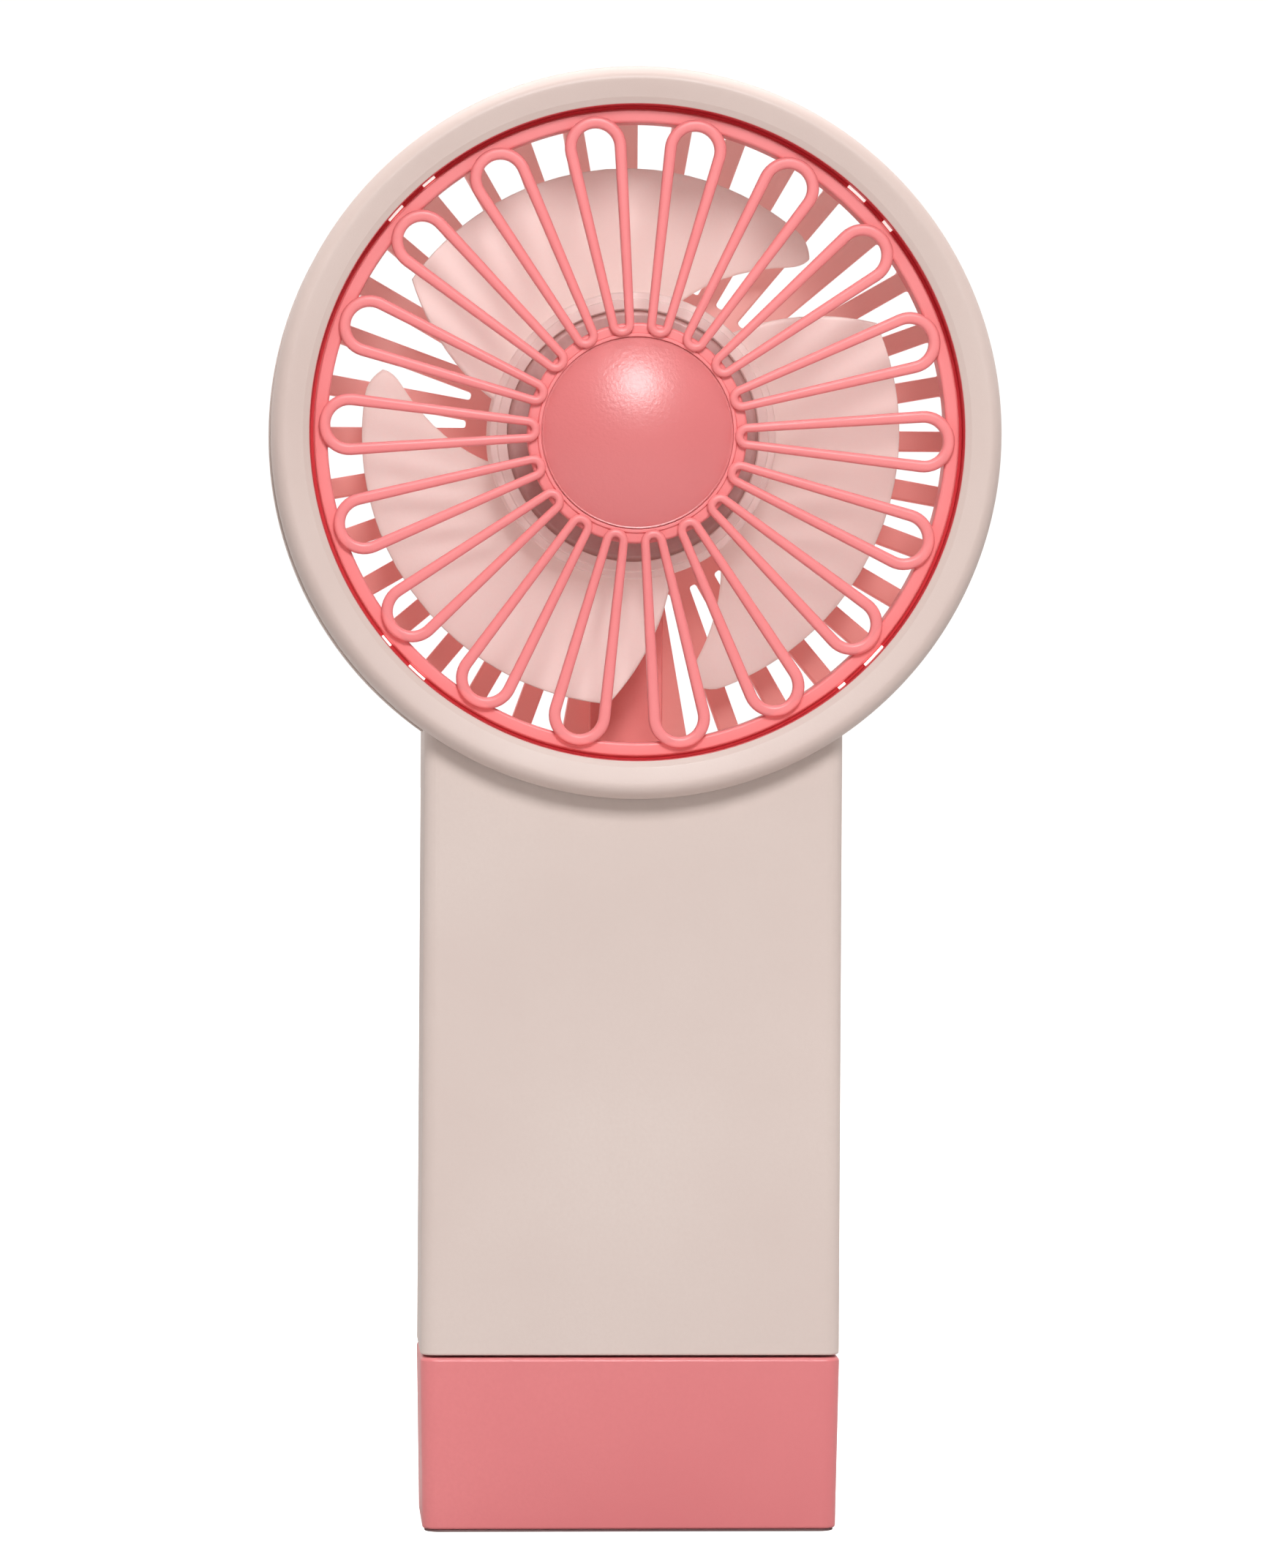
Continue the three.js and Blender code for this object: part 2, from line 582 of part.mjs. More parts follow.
function buildHandle() {
  add("front_shell", frontShell(), palePink);
  add("rear_shell", rearShell(), palePink);
  shellScrews.forEach(([x, z], i) =>
    add(`shell_screw_${i + 1}`, screwY(x, z, 5.2, 2.3, 1.7, 1, 10), steel));
  const cell = { w: 36.8, d: 8.6, z0: 34, z1: 92 };
  const pack = draftedBlock(cell.w, cell.w, cell.d, cell.d, 1.5, cell.z0, cell.z1);
  add("battery_pack", pack.translate(0, -4, 0), batterySilver);
  add("circuit_board", circuitBoard(), boardGreen);
  boardScrews.forEach(([x, z], i) =>
    add(`board_screw_${i + 1}`, boardScrew(x, z), steel));
  add("usb_c_socket", usbSocket(), steel);
  add("tact_switch", tactSwitch(), blackPlastic);
  add("switch_plunger", rodY(1.5, 6.05, 7.15, BUTTON.x, BUTTON.z, 12), coral);
  add("power_button", powerButton(), coral);
  add("indicator_led", box(LED.x - 0.8, LED.x + 0.8, 4.6, 5.3, LED.z - 0.5, LED.z + 0.5), lensWhite);
  const pipe = rodY(1, 6, HANDLE_HALF, LED.x, LED.z, 12);
  add("indicator_lens", pipe.add(rodY(2, 7.8, 8.7, LED.x, LED.z, 12)), lensWhite);
}

// Pointing towards +Y, through the board into the rear shell.
function boardScrew(x, z) {
  return rodY(1.9, 2, BOARD_Y - 0.1, x, z, 12).add(rodY(0.9, BOARD_Y - 0.2, 8, x, z, TINY));
}

// Leads: from the motor down the cable duct to the board, and from the cell to the board.
function buildWires() {
  const radius = 0.6;
  const down = (x) => [
    [x, 11.4, HEAD_Z - 14.5],
    [x, 11.3, HEAD_Z - 18],
    [x, 11, HEAD_Z - 24],
    [x, 10.7, HEAD_Z - 34],
    [x, 10.1, HEAD_Z - 42],
    [x, 9.2, 98.5],
    [x, 8.3, 95],
    [x, 6.8, 92],
    [x, 5.4, 89.5],
  ];
  add("motor_wire_red", wire(down(-1.4), radius, 16), wireRed);
  add("motor_wire_black", wire(down(1.4), radius, 16), wireBlack);
  const across = (x) => [[x, -4, 92.3], [x, -3.4, 93.4], [x, -0.4, 94], [x, 2, 93.2], [x, 3.8, 91.8]];
  add("battery_wire_red", wire(across(-8), radius, 8), wireRed);
  add("battery_wire_black", wire(across(8), radius, 8), wireBlack);
}

// ---------------------------------------------------------------- swivelling base

const plateScrews = [[-20, 0], [20, 0]];

function baseShell() {
  const [below, above] = [2 * BASE_HALF - 0.4, 2 * BASE_HALF];
  const block = draftedBlock(BASE_BOTTOM_W, BASE_TOP_W, below, above, EDGE_R, BASE_Z0, BASE_TOP);
  const hollow = draftedBlock(
    BASE_BOTTOM_W - 2 * WALL,
    BASE_TOP_W - 2 * WALL - 0.6,
    below - 2 * WALL,
    above - 2 * WALL,
    EDGE_R / 2,
    0,
    BASE_TOP - FLOOR,
  );
  const bosses = plateScrews.map(([x, y]) => rodZ(2.8, PLATE_TOP + GAP, BASE_TOP - 1, x, y, 12));
  const pilots = plateScrews.map(([x, y]) => rodZ(1.1, PLATE_TOP, 15, x, y, TINY));
  const detent = rodZ(1.9, 12, BASE_TOP - 1, DETENT_R, 0, 12);
  const bore = rodZ(PIVOT_R + GAP, BASE_TOP - 5, BASE_TOP + 1);
  const ballHole = rodZ(1.15, 13, BASE_TOP + 1, DETENT_R, 0, 12);
  return cut(union(cut(block, hollow), ...bosses, detent), ...pilots, bore, ballHole);
}

// A thick steel plate closes the base from below, flush with its wall, and keeps the fan upright.
function basePlate() {
  const [w, d] = [BASE_BOTTOM_W - 2 * WALL - 0.7, 2 * (BASE_HALF - WALL) - 1];
  const plate = plateZ(roundedRect(w, d, EDGE_R / 2), BASE_Z0, PLATE_TOP);
  const holes = plateScrews.map(([x, y]) => rodZ(1.3, 0, PLATE_TOP + 1, x, y, TINY));
  const heads = plateScrews.map(([x, y]) => rodZ(2.4, 0, 2.5, x, y, 12));
  return cut(plate, ...holes, ...heads);
}

// A thin rubber sole over nearly the whole underside.
function footPad() {
  const [w, d] = [BASE_BOTTOM_W - 2 * FOOT_INSET, 2 * BASE_HALF - 0.4 - 2 * FOOT_INSET];
  return plateZ(roundedRect(w, d, EDGE_R), 0, FOOT_TOP);
}

// Pointing up into the base's bosses, hidden by the foot pad.
function plateScrew(x, y) {
  return rodZ(2, BASE_Z0 + 0.3, 2.4, x, y, 12).add(rodZ(0.9, 2.3, 14, x, y, TINY));
}

function detentSpring() {
  const turns = 4;
  const points = Array.from({ length: turns * 6 + 1 }, (_, i) => {
    const a = (i / 6) * 2 * Math.PI;
    return [DETENT_R + 0.7 * Math.cos(a), 0.7 * Math.sin(a), 13.5 + (7 * i) / (turns * 6)];
  });
  return wire(points, 0.18, turns * 6);
}

// The post is fixed under the handle; its flange holds the base up against the handle.
function pivotPost() {
  const bore = SHAFT_R + 0.2;
  return turnedZ([
    [bore, 18.4],
    [6.5, 18.4],
    [6.5, 19.6],
    [PIVOT_R, 19.6],
    [PIVOT_R, 25.8],
    [bore, 25.8],
  ]);
}

function pivotBracket() {
  return cut(plateZ(roundedRect(34, 15, 2), 26, 28), rodZ(SHAFT_R + 0.2, 25, 29));
}

function pivotScrew() {
  return rodZ(3, 16.4, 18.2).add(rodZ(SHAFT_R, 18, 31, 0, 0, TINY));
}

function pivotNut() {
  return cut(rodZ(3.1, 28.2, 30.6, 0, 0, 6), rodZ(SHAFT_R + BORE_FIT, 28, 31, 0, 0, TINY));
}

function buildBase() {
  add("pivot_post", pivotPost(), blackPlastic);
  add("pivot_washer", turnedZ(tubeProfile(PIVOT_R + 0.2, 6.4, 19.75, 20.25)), lensWhite);
  add("pivot_bracket", pivotBracket(), steel);
  add("pivot_screw", pivotScrew(), steel);
  add("pivot_nut", pivotNut(), steel);
  add("base_shell", baseShell(), coral);
  add("base_plate", basePlate(), steel);
  add("foot_pad", footPad(), rubberGrey);
  plateScrews.forEach(([x, y], i) => add(`plate_screw_${i + 1}`, plateScrew(x, y), steel));
  add("detent_ball", solidFrom(new THREE.SphereGeometry(0.95, 10, 6).translate(DETENT_R, 0, 22)), steel);
  add("detent_spring", detentSpring(), steel);
}

buildHandle();
buildHead();
buildRotor();
buildWires();
buildBase();

export default fan;
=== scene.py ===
"""Looks of a handheld electric fan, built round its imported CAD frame.

Shapes are in millimetres until a mesh is made of them. The front of the fan faces -Y and +Z is up.
"""
import math

import bmesh
import bpy
from mathutils import Matrix, Vector


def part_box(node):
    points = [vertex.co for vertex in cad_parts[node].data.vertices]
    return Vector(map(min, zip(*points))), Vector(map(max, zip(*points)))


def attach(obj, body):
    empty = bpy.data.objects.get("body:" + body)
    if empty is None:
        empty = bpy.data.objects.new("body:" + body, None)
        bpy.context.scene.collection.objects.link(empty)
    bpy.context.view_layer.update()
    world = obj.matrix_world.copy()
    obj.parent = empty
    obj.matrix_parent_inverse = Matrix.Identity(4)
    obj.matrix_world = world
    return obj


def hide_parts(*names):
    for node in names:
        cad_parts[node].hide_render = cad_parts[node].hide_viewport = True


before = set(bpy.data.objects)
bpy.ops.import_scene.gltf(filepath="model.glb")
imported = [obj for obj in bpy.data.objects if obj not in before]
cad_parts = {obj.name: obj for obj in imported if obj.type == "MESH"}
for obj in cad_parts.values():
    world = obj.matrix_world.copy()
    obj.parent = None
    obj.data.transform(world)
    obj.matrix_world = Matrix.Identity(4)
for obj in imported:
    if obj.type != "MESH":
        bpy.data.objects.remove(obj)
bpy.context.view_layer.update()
MM = 0.001


# ---------------------------------------------------------------- sizes, from the frame

def low(node, axis):
    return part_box(node)[0]["xyz".index(axis)] / MM


def high(node, axis):
    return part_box(node)[1]["xyz".index(axis)] / MM


HEAD_R = high("bezel_ring", "x")
FRONT_R = HEAD_R - 0.28  # the front half of the head is a touch smaller than the rear half
HEAD_Z = (low("bezel_ring", "z") + high("bezel_ring", "z")) / 2
HEAD_FRONT = low("bezel_ring", "y")
HEAD_BACK = high("rear_shell", "y")
BEZEL_BACK = high("bezel_ring", "y")
PARTING = low("rear_shell", "y")
LIP_R = 45.0  # inside this, the two halves of the head all but touch
LIP_GAP = 0.01
HANDLE_Z0 = low("front_shell", "z")
HANDLE_FACE = -low("front_shell", "y")
GRILLE_BACK = high("front_grille", "y")
HUB_R = 18.95
HUB_FRONT = low("impeller", "y")
HUB_BACK = high("impeller", "y")
ROTOR_R = high("rotor_cup", "x")
ROTOR_FRONT = low("rotor_cup", "y")
ROTOR_BACK = high("rotor_cup", "y")
PLATE_R = high("rear_grille", "x")
PLATE_BACK = high("rear_grille", "y")
CAP_FRONT = low("grille_cap", "y")
BASE_Z0 = 0.35  # the base's wall ends just above the table
BASE_TOP = high("base_shell", "z")
PLATE_TOP = high("base_plate", "z")
BASE_TOP_W = 2 * high("base_shell", "x") - 0.1
BASE_TOP_D = 2 * high("base_shell", "y")

# Sizes of details that are part of a larger node.
HANDLE_BOTTOM_W = 55.15
HANDLE_TOP_W = 54.95
HANDLE_TOP = 106
BASE_BOTTOM_W = 54.4
EDGE_R = 2
WALL = 2
DUCT_R = 44
BEZEL_IN = 42.6
RIM_IN = 40.35
RIM_OUT = 42.12
RIM_FRONT = -13.7
PETALS = 18
PETAL_PHASE = 11.3
PETAL_FRONT = -14.9
PETAL_BACK = -13.1
PLATE_FRONT = 12.8
REAR_RIBS = 36
SLOT_IN = 21.6
SLOT_OUT = 43.4
DUCT_HALF = 4.8
BLADE_R = 35.6
BLADES = 3
BLADE_FRONT = -2.6
BLADE_SWEEP = 9.6
BLADE_T = 1.3
CLIP_ANGLES = (46.6, 137.5, 226.6, 316.2)
CLIP_TABS = (
    (40.2, 44.2), (48.9, 51.2), (130.5, 135.1), (139.8, 141.3),
    (220.5, 224.2), (228.9, 231.2), (310.1, 313.6), (318.6, 321.2),
)
SHELL_SCREWS = [(-21.8, 33), (21.8, 33), (-21.8, 89), (21.8, 89)]
BUTTON_X, BUTTON_Z = 0, 82
LENS_Z = 70.5
PORT_Y, PORT_Z = 6.4, 72
COVER_BACK = high("cable_cover", "y")
HEAD_CAP_BACK = high("rear_hub_cap", "y")
MOTOR_SCREW_ANGLES = (30, 150, 270)
BOARD_SCREWS = [(-15.5, 64), (15.5, 86)]
PLATE_SCREWS = (-20, 20)
DETENT_R = 8.5
DUCT_FOOT = HEAD_Z - 43.2
POST_HOLE_R = 5.3
SOLE_TOP = 0.3
TAB_IN, TAB_OUT = 42.28, 42.8
HUB_DISC_FRONT, HUB_DISC_BACK = -13.8, -12.2
GAP_FLOOR_FRONT, GAP_FLOOR_BACK = -13.0, -12.4
BLADE_ROOT = HUB_R - 0.5


# ---------------------------------------------------------------- outlines

def fillet(corners, steps=5):
    """Rounds each corner (x, y, radius) of a closed outline. A radius of 0 leaves it sharp."""
    points = []
    for i, (x, y, radius) in enumerate(corners):
        if not radius:
            points.append(Vector((x, y)))
            continue
        here = Vector((x, y))
        before = (Vector(corners[i - 1][:2]) - here).normalized()
        after = (Vector(corners[(i + 1) % len(corners)][:2]) - here).normalized()
        half = before.angle(after) / 2
        centre = here + (before + after).normalized() * radius / math.sin(half)
        start = here + before * radius / math.tan(half) - centre
        end = here + after * radius / math.tan(half) - centre
        turn = math.pi - 2 * half
        for k in range(steps + 1):
            t = k / steps
            arm = start * math.sin((1 - t) * turn) + end * math.sin(t * turn)
            points.append(centre + arm / math.sin(turn))
    return [(p.x, p.y) for p in points]


def arc(cx, cy, rx, ry, start, sweep=90, steps=12):
    """Points of an elliptical arc, angles in degrees from +x towards +y."""
    return [
        (
            cx + rx * math.cos(math.radians(start + sweep * k / steps)),
            cy + ry * math.sin(math.radians(start + sweep * k / steps)),
        )
        for k in range(steps + 1)
    ]


def rounding(edge, steps=5):
    """(inset, setback) pairs round a quarter circle, from the face's side to the wall's."""
    angles = [math.pi / 2 * k / steps for k in range(steps + 1)]
    return [(edge * (1 - math.cos(a)), edge * (1 - math.sin(a))) for a in angles]


def rounded_rect(width, height, radius, steps=6):
    w, h = width / 2, height / 2
    return fillet([(-w, -h, radius), (w, -h, radius), (w, h, radius), (-w, h, radius)], steps)


def on_head(degrees, r):
    """(x, z) at that many degrees clockwise from the top of the head, seen from the front."""
    a = math.radians(degrees)
    return r * math.sin(a), HEAD_Z + r * math.cos(a)


# ---------------------------------------------------------------- meshes

def piece_from(name, vertices, faces):
    """A mesh object from points in millimetres, cleaned and facing out."""
    mesh = bpy.data.meshes.new(name)
    mesh.from_pydata([Vector(v) * MM for v in vertices], [], faces)
    shape = bmesh.new()
    shape.from_mesh(mesh)
    bmesh.ops.remove_doubles(shape, verts=shape.verts, dist=1e-7)
    bmesh.ops.dissolve_degenerate(shape, dist=1e-7, edges=shape.edges)
    bmesh.ops.recalc_face_normals(shape, faces=shape.faces)
    shape.to_mesh(mesh)
    shape.free()
    piece = bpy.data.objects.new(name, mesh)
    bpy.context.scene.collection.objects.link(piece)
    return piece


def skin(name, rings, endless=False):
    """Joins rings of the same number of points. The ends are closed, unless the last ring meets the first."""
    count = len(rings[0])
    vertices = [p for ring in rings for p in ring]
    faces = []
    spans = len(rings) if endless else len(rings) - 1
    for i in range(spans):
        a, b = i * count, (i + 1) % len(rings) * count
        for j in range(count):
            k = (j + 1) % count
            faces.append((a + j, a + k, b + k, b + j))
    if not endless:
        faces.append(tuple(range(count)))
        faces.append(tuple(range(len(vertices) - count, len(vertices))))
    return piece_from(name, vertices, faces)


def turned_y(name, outline, steps=144, x=0.0, z=HEAD_Z):
    """Turns a closed outline of (radius, y) points round an axis along Y."""
    rings = []
    for i in range(steps):
        a = 2 * math.pi * i / steps
        rings.append([(x + r * math.sin(a), y, z + r * math.cos(a)) for r, y in outline])
    return skin(name, rings, endless=True)


def bake(piece):
    """Replaces the piece's mesh by what its modifiers make of it."""
    made = bpy.data.meshes.new_from_object(piece.evaluated_get(bpy.context.evaluated_depsgraph_get()))
    piece.modifiers.clear()
    piece.data = made
    return piece


def combine(piece, tools, operation):
    for tool in tools:
        modifier = piece.modifiers.new(operation.title(), "BOOLEAN")
        modifier.operation = operation
        modifier.solver = "MANIFOLD"
        modifier.object = tool
    bake(piece)
    for tool in tools:
        bpy.data.objects.remove(tool)
    return piece


def join(piece, *tools):
    return combine(piece, tools, "UNION")


def cut(piece, *tools):
    return combine(piece, tools, "DIFFERENCE")


def rod_y(r, y0, y1, x=0.0, z=HEAD_Z, steps=48):
    return turned_y("tool", [(0, y0), (r, y0), (r, y1), (0, y1)], steps, x, z)


def flared_y(r, face, depth, flare, x, z, steps=64):
    """A tool for a round hole in a face at y = face, facing +Y, with a rounded mouth."""
    mouth = [(r + inset, face - back) for inset, back in rounding(flare)]
    outline = [(0, face - depth), (r, face - depth), *mouth, (r + flare, face + 1), (0, face + 1)]
    return turned_y("tool", outline, steps, x, z)


def block(x0, x1, y0, y1, z0, z1, radius=0.0):
    """A bar along Z with rounded upright edges."""
    section = rounded_rect(x1 - x0, y1 - y0, radius, 4)
    cx, cy = (x0 + x1) / 2, (y0 + y1) / 2
    return skin("tool", [[(cx + x, cy + y, z) for x, y in section] for z in (z0, z1)])


def plate_y(outline, y0, y1, edge):
    """A flat plate with rounded front and back edges. outline(inset) gives its (x, z) points."""
    steps = rounding(edge)
    rings = [[(x, y0 + back, z) for x, z in outline(inset)] for inset, back in reversed(steps)]
    rings += [[(x, y1 - back, z) for x, z in outline(inset)] for inset, back in steps]
    return skin("tool", rings)


def finish_shape(piece, angle=33):
    """Smooth shading with crisp edges, weighted by face area."""
    mesh = piece.data
    for polygon in mesh.polygons:
        polygon.use_smooth = True
    mesh.set_sharp_from_angle(angle=math.radians(angle))
    weights = piece.modifiers.new("Weighted normals", "WEIGHTED_NORMAL")
    weights.keep_sharp = True
    return piece


def place(piece, name, slot_name, body, *nodes, material=None, angle=33):
    """Names a finished piece, gives it its material, ties it to its body and hides the CAD nodes it stands
    for.
    """
    piece.name = name
    piece.data.name = name
    finish_shape(piece, angle)
    piece.data.materials.clear()
    piece.data.materials.append(material or MATERIALS[slot_name])
    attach(piece, body)
    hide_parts(*nodes)
    return piece


# ---------------------------------------------------------------- materials

def linear(value):
    value /= 255
    return value / 12.92 if value <= 0.04045 else ((value + 0.055) / 1.055) ** 2.4


def colour(r, g, b):
    return linear(r), linear(g), linear(b), 1


class Recipe:
    """A node material being made: a Principled shader with patterns in object space, in metres."""

    def __init__(self, name, **constants):
        self.material = bpy.data.materials.new(name)
        self.material.use_nodes = True
        self.tree = self.material.node_tree
        self.shader = self.tree.nodes["Principled BSDF"]
        self.place = self.tree.nodes.new("ShaderNodeTexCoord").outputs["Object"]
        for socket, value in constants.items():
            self.shader.inputs[socket.replace("_", " ")].default_value = value

    def link(self, source, target):
        self.tree.links.new(source, target)

    def noise(self, scale, detail=3.0, roughness=0.5, stretch=None):
        node = self.tree.nodes.new("ShaderNodeTexNoise")
        node.inputs["Scale"].default_value = scale
        node.inputs["Detail"].default_value = detail
        node.inputs["Roughness"].default_value = roughness
        source = self.place
        if stretch:
            mapping = self.tree.nodes.new("ShaderNodeMapping")
            mapping.inputs["Scale"].default_value = stretch
            self.link(source, mapping.inputs["Vector"])
            source = mapping.outputs["Vector"]
        self.link(source, node.inputs["Vector"])
        return node.outputs["Fac"]

    def ranged(self, source, low_value, high_value, start=0.3, end=0.7):
        node = self.tree.nodes.new("ShaderNodeMapRange")
        self.link(source, node.inputs["Value"])
        node.inputs["From Min"].default_value = start
        node.inputs["From Max"].default_value = end
        node.inputs["To Min"].default_value = low_value
        node.inputs["To Max"].default_value = high_value
        return node.outputs["Result"]

    def mixed(self, factor, first, second):
        node = self.tree.nodes.new("ShaderNodeMix")
        node.data_type = "RGBA"
        sockets = [s for s in node.inputs if s.type == "RGBA"]
        for socket, value in zip(sockets, (first, second)):
            if isinstance(value, tuple):
                socket.default_value = value
            else:
                self.link(value, socket)
        self.link(factor, node.inputs["Factor"])
        return next(s for s in node.outputs if s.type == "RGBA")

    def paint(self, source):
        self.link(source, self.shader.inputs["Base Color"])

    def rough(self, source):
        self.link(source, self.shader.inputs["Roughness"])

    def bump(self, source, distance):
        node = self.tree.nodes.new("ShaderNodeBump")
        node.inputs["Distance"].default_value = distance
        self.link(source, node.inputs["Height"])
        return node.outputs["Normal"]

    def normal(self, source):
        self.link(source, self.shader.inputs["Normal"])

    def distance(self, axis):
        """Distance along an axis of the object, in metres."""
        split = self.tree.nodes.new("ShaderNodeSeparateXYZ")
        self.link(self.place, split.inputs["Vector"])
        return split.outputs[axis]

    def radius(self):
        """Distance from the head's axis, in metres."""
        flat = self.tree.nodes.new("ShaderNodeVectorMath")
        flat.operation = "MULTIPLY_ADD"
        self.link(self.place, flat.inputs[0])
        flat.inputs[1].default_value = (1, 0, 1)
        flat.inputs[2].default_value = (0, 0, -HEAD_Z * MM)
        length = self.tree.nodes.new("ShaderNodeVectorMath")
        length.operation = "LENGTH"
        self.link(flat.outputs["Vector"], length.inputs[0])
        return length.outputs["Value"]

    def scaled(self, source, factor):
        """The product of a pattern and a number or another pattern."""
        node = self.tree.nodes.new("ShaderNodeMath")
        node.operation = "MULTIPLY"
        self.link(source, node.inputs[0])
        self.give(factor, node.inputs[1])
        return node.outputs["Value"]

    def give(self, value, socket):
        if isinstance(value, bpy.types.NodeSocket):
            self.link(value, socket)
        else:
            socket.default_value = value

    def glow(self, tint, strength):
        """Light given off though the surface is no lamp. On the fan's plastics it is a painted glow, which
        stands for light that scatters about inside thin plastic.
        """
        self.give(tint, self.shader.inputs["Emission Color"])
        self.give(strength, self.shader.inputs["Emission Strength"])

    def let_light_through(self, tint, share):
        """Mixes in light that comes through the thin wall from behind."""
        nodes = self.tree.nodes
        through = nodes.new("ShaderNodeBsdfTranslucent")
        through.inputs["Color"].default_value = tint
        blend = nodes.new("ShaderNodeMixShader")
        blend.inputs["Fac"].default_value = share
        self.link(self.shader.outputs["BSDF"], blend.inputs[1])
        self.link(through.outputs["BSDF"], blend.inputs[2])
        self.link(blend.outputs["Shader"], nodes["Material Output"].inputs["Surface"])


PALE = colour(213, 198, 191), colour(207, 190, 183)
CORAL = colour(223, 128, 130), colour(215, 120, 123)


def moulded(name, light, dark, roughness, grain=2600, depth=1.2e-5, spread=0.045, **constants):
    """Moulded plastic: broad tone drift, fine spark-eroded grain and a slightly uneven gloss."""
    recipe = Recipe(name, **constants)
    drift = recipe.ranged(recipe.noise(28, 2), 0, 1)
    speckle = recipe.ranged(recipe.noise(1900, 2), 0, 0.35)
    tone = recipe.mixed(drift, light, dark)
    recipe.paint(recipe.mixed(speckle, tone, dark))
    recipe.rough(recipe.ranged(recipe.noise(160, 4), roughness - spread, roughness + spread))
    recipe.normal(recipe.bump(recipe.noise(grain, 3, 0.6), depth))
    return recipe.material


def metal(name, light, dark, roughness, stretch=(1, 1, 1), depth=6e-6, **constants):
    """Metal with fine drawn or turned lines."""
    recipe = Recipe(name, Metallic=1.0, **constants)
    lines = recipe.noise(900, 4, 0.6, stretch)
    recipe.paint(recipe.mixed(recipe.ranged(lines, 0, 1), light, dark))
    recipe.rough(recipe.ranged(recipe.noise(300, 3), roughness - 0.08, roughness + 0.1))
    recipe.normal(recipe.bump(lines, depth))
    return recipe.material


def pink_tinted_rotor():
    """Rose-grey satin turned metal: the rose-grey is a painted reflection of the pink plastic round it."""
    recipe = Recipe("Rotor steel with painted pink", Metallic=0.2)
    rings = recipe.noise(900, 4, 0.6, (1, 20, 1))
    recipe.paint(recipe.mixed(recipe.ranged(rings, 0, 1), colour(214, 180, 176), colour(204, 168, 165)))
    recipe.rough(recipe.ranged(recipe.noise(300, 3), 0.4, 0.55))
    recipe.normal(recipe.bump(rings, 5e-6))
    return recipe.material


def frosted_plastic():
    """Thin frosted plastic that lets soft light through, with a painted glow that brightens it further."""
    recipe = Recipe("Frosted blades", Specular_IOR_Level=0.4)
    drift = recipe.ranged(recipe.noise(40, 2), 0, 1)
    tone = recipe.mixed(drift, colour(247, 233, 229), colour(245, 227, 222))
    speckle = recipe.ranged(recipe.noise(2400, 2), 0, 0.3)
    recipe.paint(recipe.mixed(speckle, tone, colour(244, 224, 219)))
    recipe.rough(recipe.ranged(recipe.noise(200, 4), 0.42, 0.52))
    recipe.normal(recipe.bump(recipe.noise(3000, 3, 0.6), 1.4e-5))
    # painted glow: the blades give off pale pink light, to look lit through
    recipe.glow((1, 0.86, 0.82, 1), 0.125)
    recipe.let_light_through(colour(252, 232, 228), 0.2)
    return recipe.material


def bezel_plastic():
    """The ring's pale plastic. Its inner wall is painted red, with a red glow, as a painted reflection of the
    coral grille; the clips' tabs are painted near white and glow, a painted light that stands for light
    showing through beside each clip.
    """
    recipe = Recipe("Pale ring")
    drift = recipe.ranged(recipe.noise(28, 2), 0, 1)
    front = recipe.ranged(recipe.distance("Y"), 1, 0, -11.6 * MM, -11.4 * MM)
    # painted reflection: red paint and a red glow on the inner wall, where the grille's colour would reflect
    wall = recipe.scaled(recipe.ranged(recipe.radius(), 1, 0, 42.68 * MM, 42.8 * MM), front)
    # painted light: the tabs are painted near white and glow, for light that shows through beside the clips
    glowing_tab = recipe.scaled(recipe.ranged(recipe.radius(), 1, 0, 42.58 * MM, 42.59 * MM), front)
    tone = recipe.mixed(drift, colour(207, 189, 182), colour(201, 181, 174))
    recipe.paint(recipe.mixed(glowing_tab, recipe.mixed(wall, tone, colour(170, 40, 46)), colour(244, 238, 234)))
    recipe.glow(recipe.mixed(glowing_tab, colour(92, 8, 14), colour(240, 232, 228)), recipe.scaled(wall, 0.7))
    recipe.rough(recipe.ranged(recipe.noise(160, 4), 0.38, 0.46))
    recipe.normal(recipe.bump(recipe.noise(2600, 3, 0.6), 1.2e-5))
    return recipe.material


def petal_plastic():
    """The front grille's coral, with a painted glow that lightens the rim's lower side, and painted shade down
    in the gap round it: deep red, with a deep red glow.
    """
    recipe = Recipe("Petal coral")
    drift = recipe.ranged(recipe.noise(28, 2), 0, 1)
    tone = recipe.mixed(drift, colour(236, 134, 135), colour(232, 128, 130))
    # painted shade: the gap round the rim is painted deep red, darker than the coral, with a deep red glow
    painted_gap = recipe.ranged(recipe.radius(), 0, 1, 42.14 * MM, 42.2 * MM)
    recipe.paint(recipe.mixed(painted_gap, tone, colour(188, 24, 34)))
    # painted light: a glow on the rim's outer part that grows towards the bottom, making its lower side
    # lighter
    rim = recipe.ranged(recipe.radius(), 0, 1, 40.4 * MM, 40.8 * MM)
    glow_towards_bottom = recipe.ranged(recipe.distance("Z"), 0.17, 0.0, 110 * MM, 172 * MM)
    painted_glow = recipe.mixed(painted_gap, recipe.scaled(rim, glow_towards_bottom), (0.26, 0.26, 0.26, 1))
    recipe.glow(recipe.mixed(painted_gap, colour(240, 96, 92), colour(176, 14, 28)), painted_glow)
    recipe.rough(recipe.ranged(recipe.noise(160, 4), 0.34, 0.43))
    recipe.normal(recipe.bump(recipe.noise(2600, 3, 0.6), 1.2e-5))
    return recipe.material


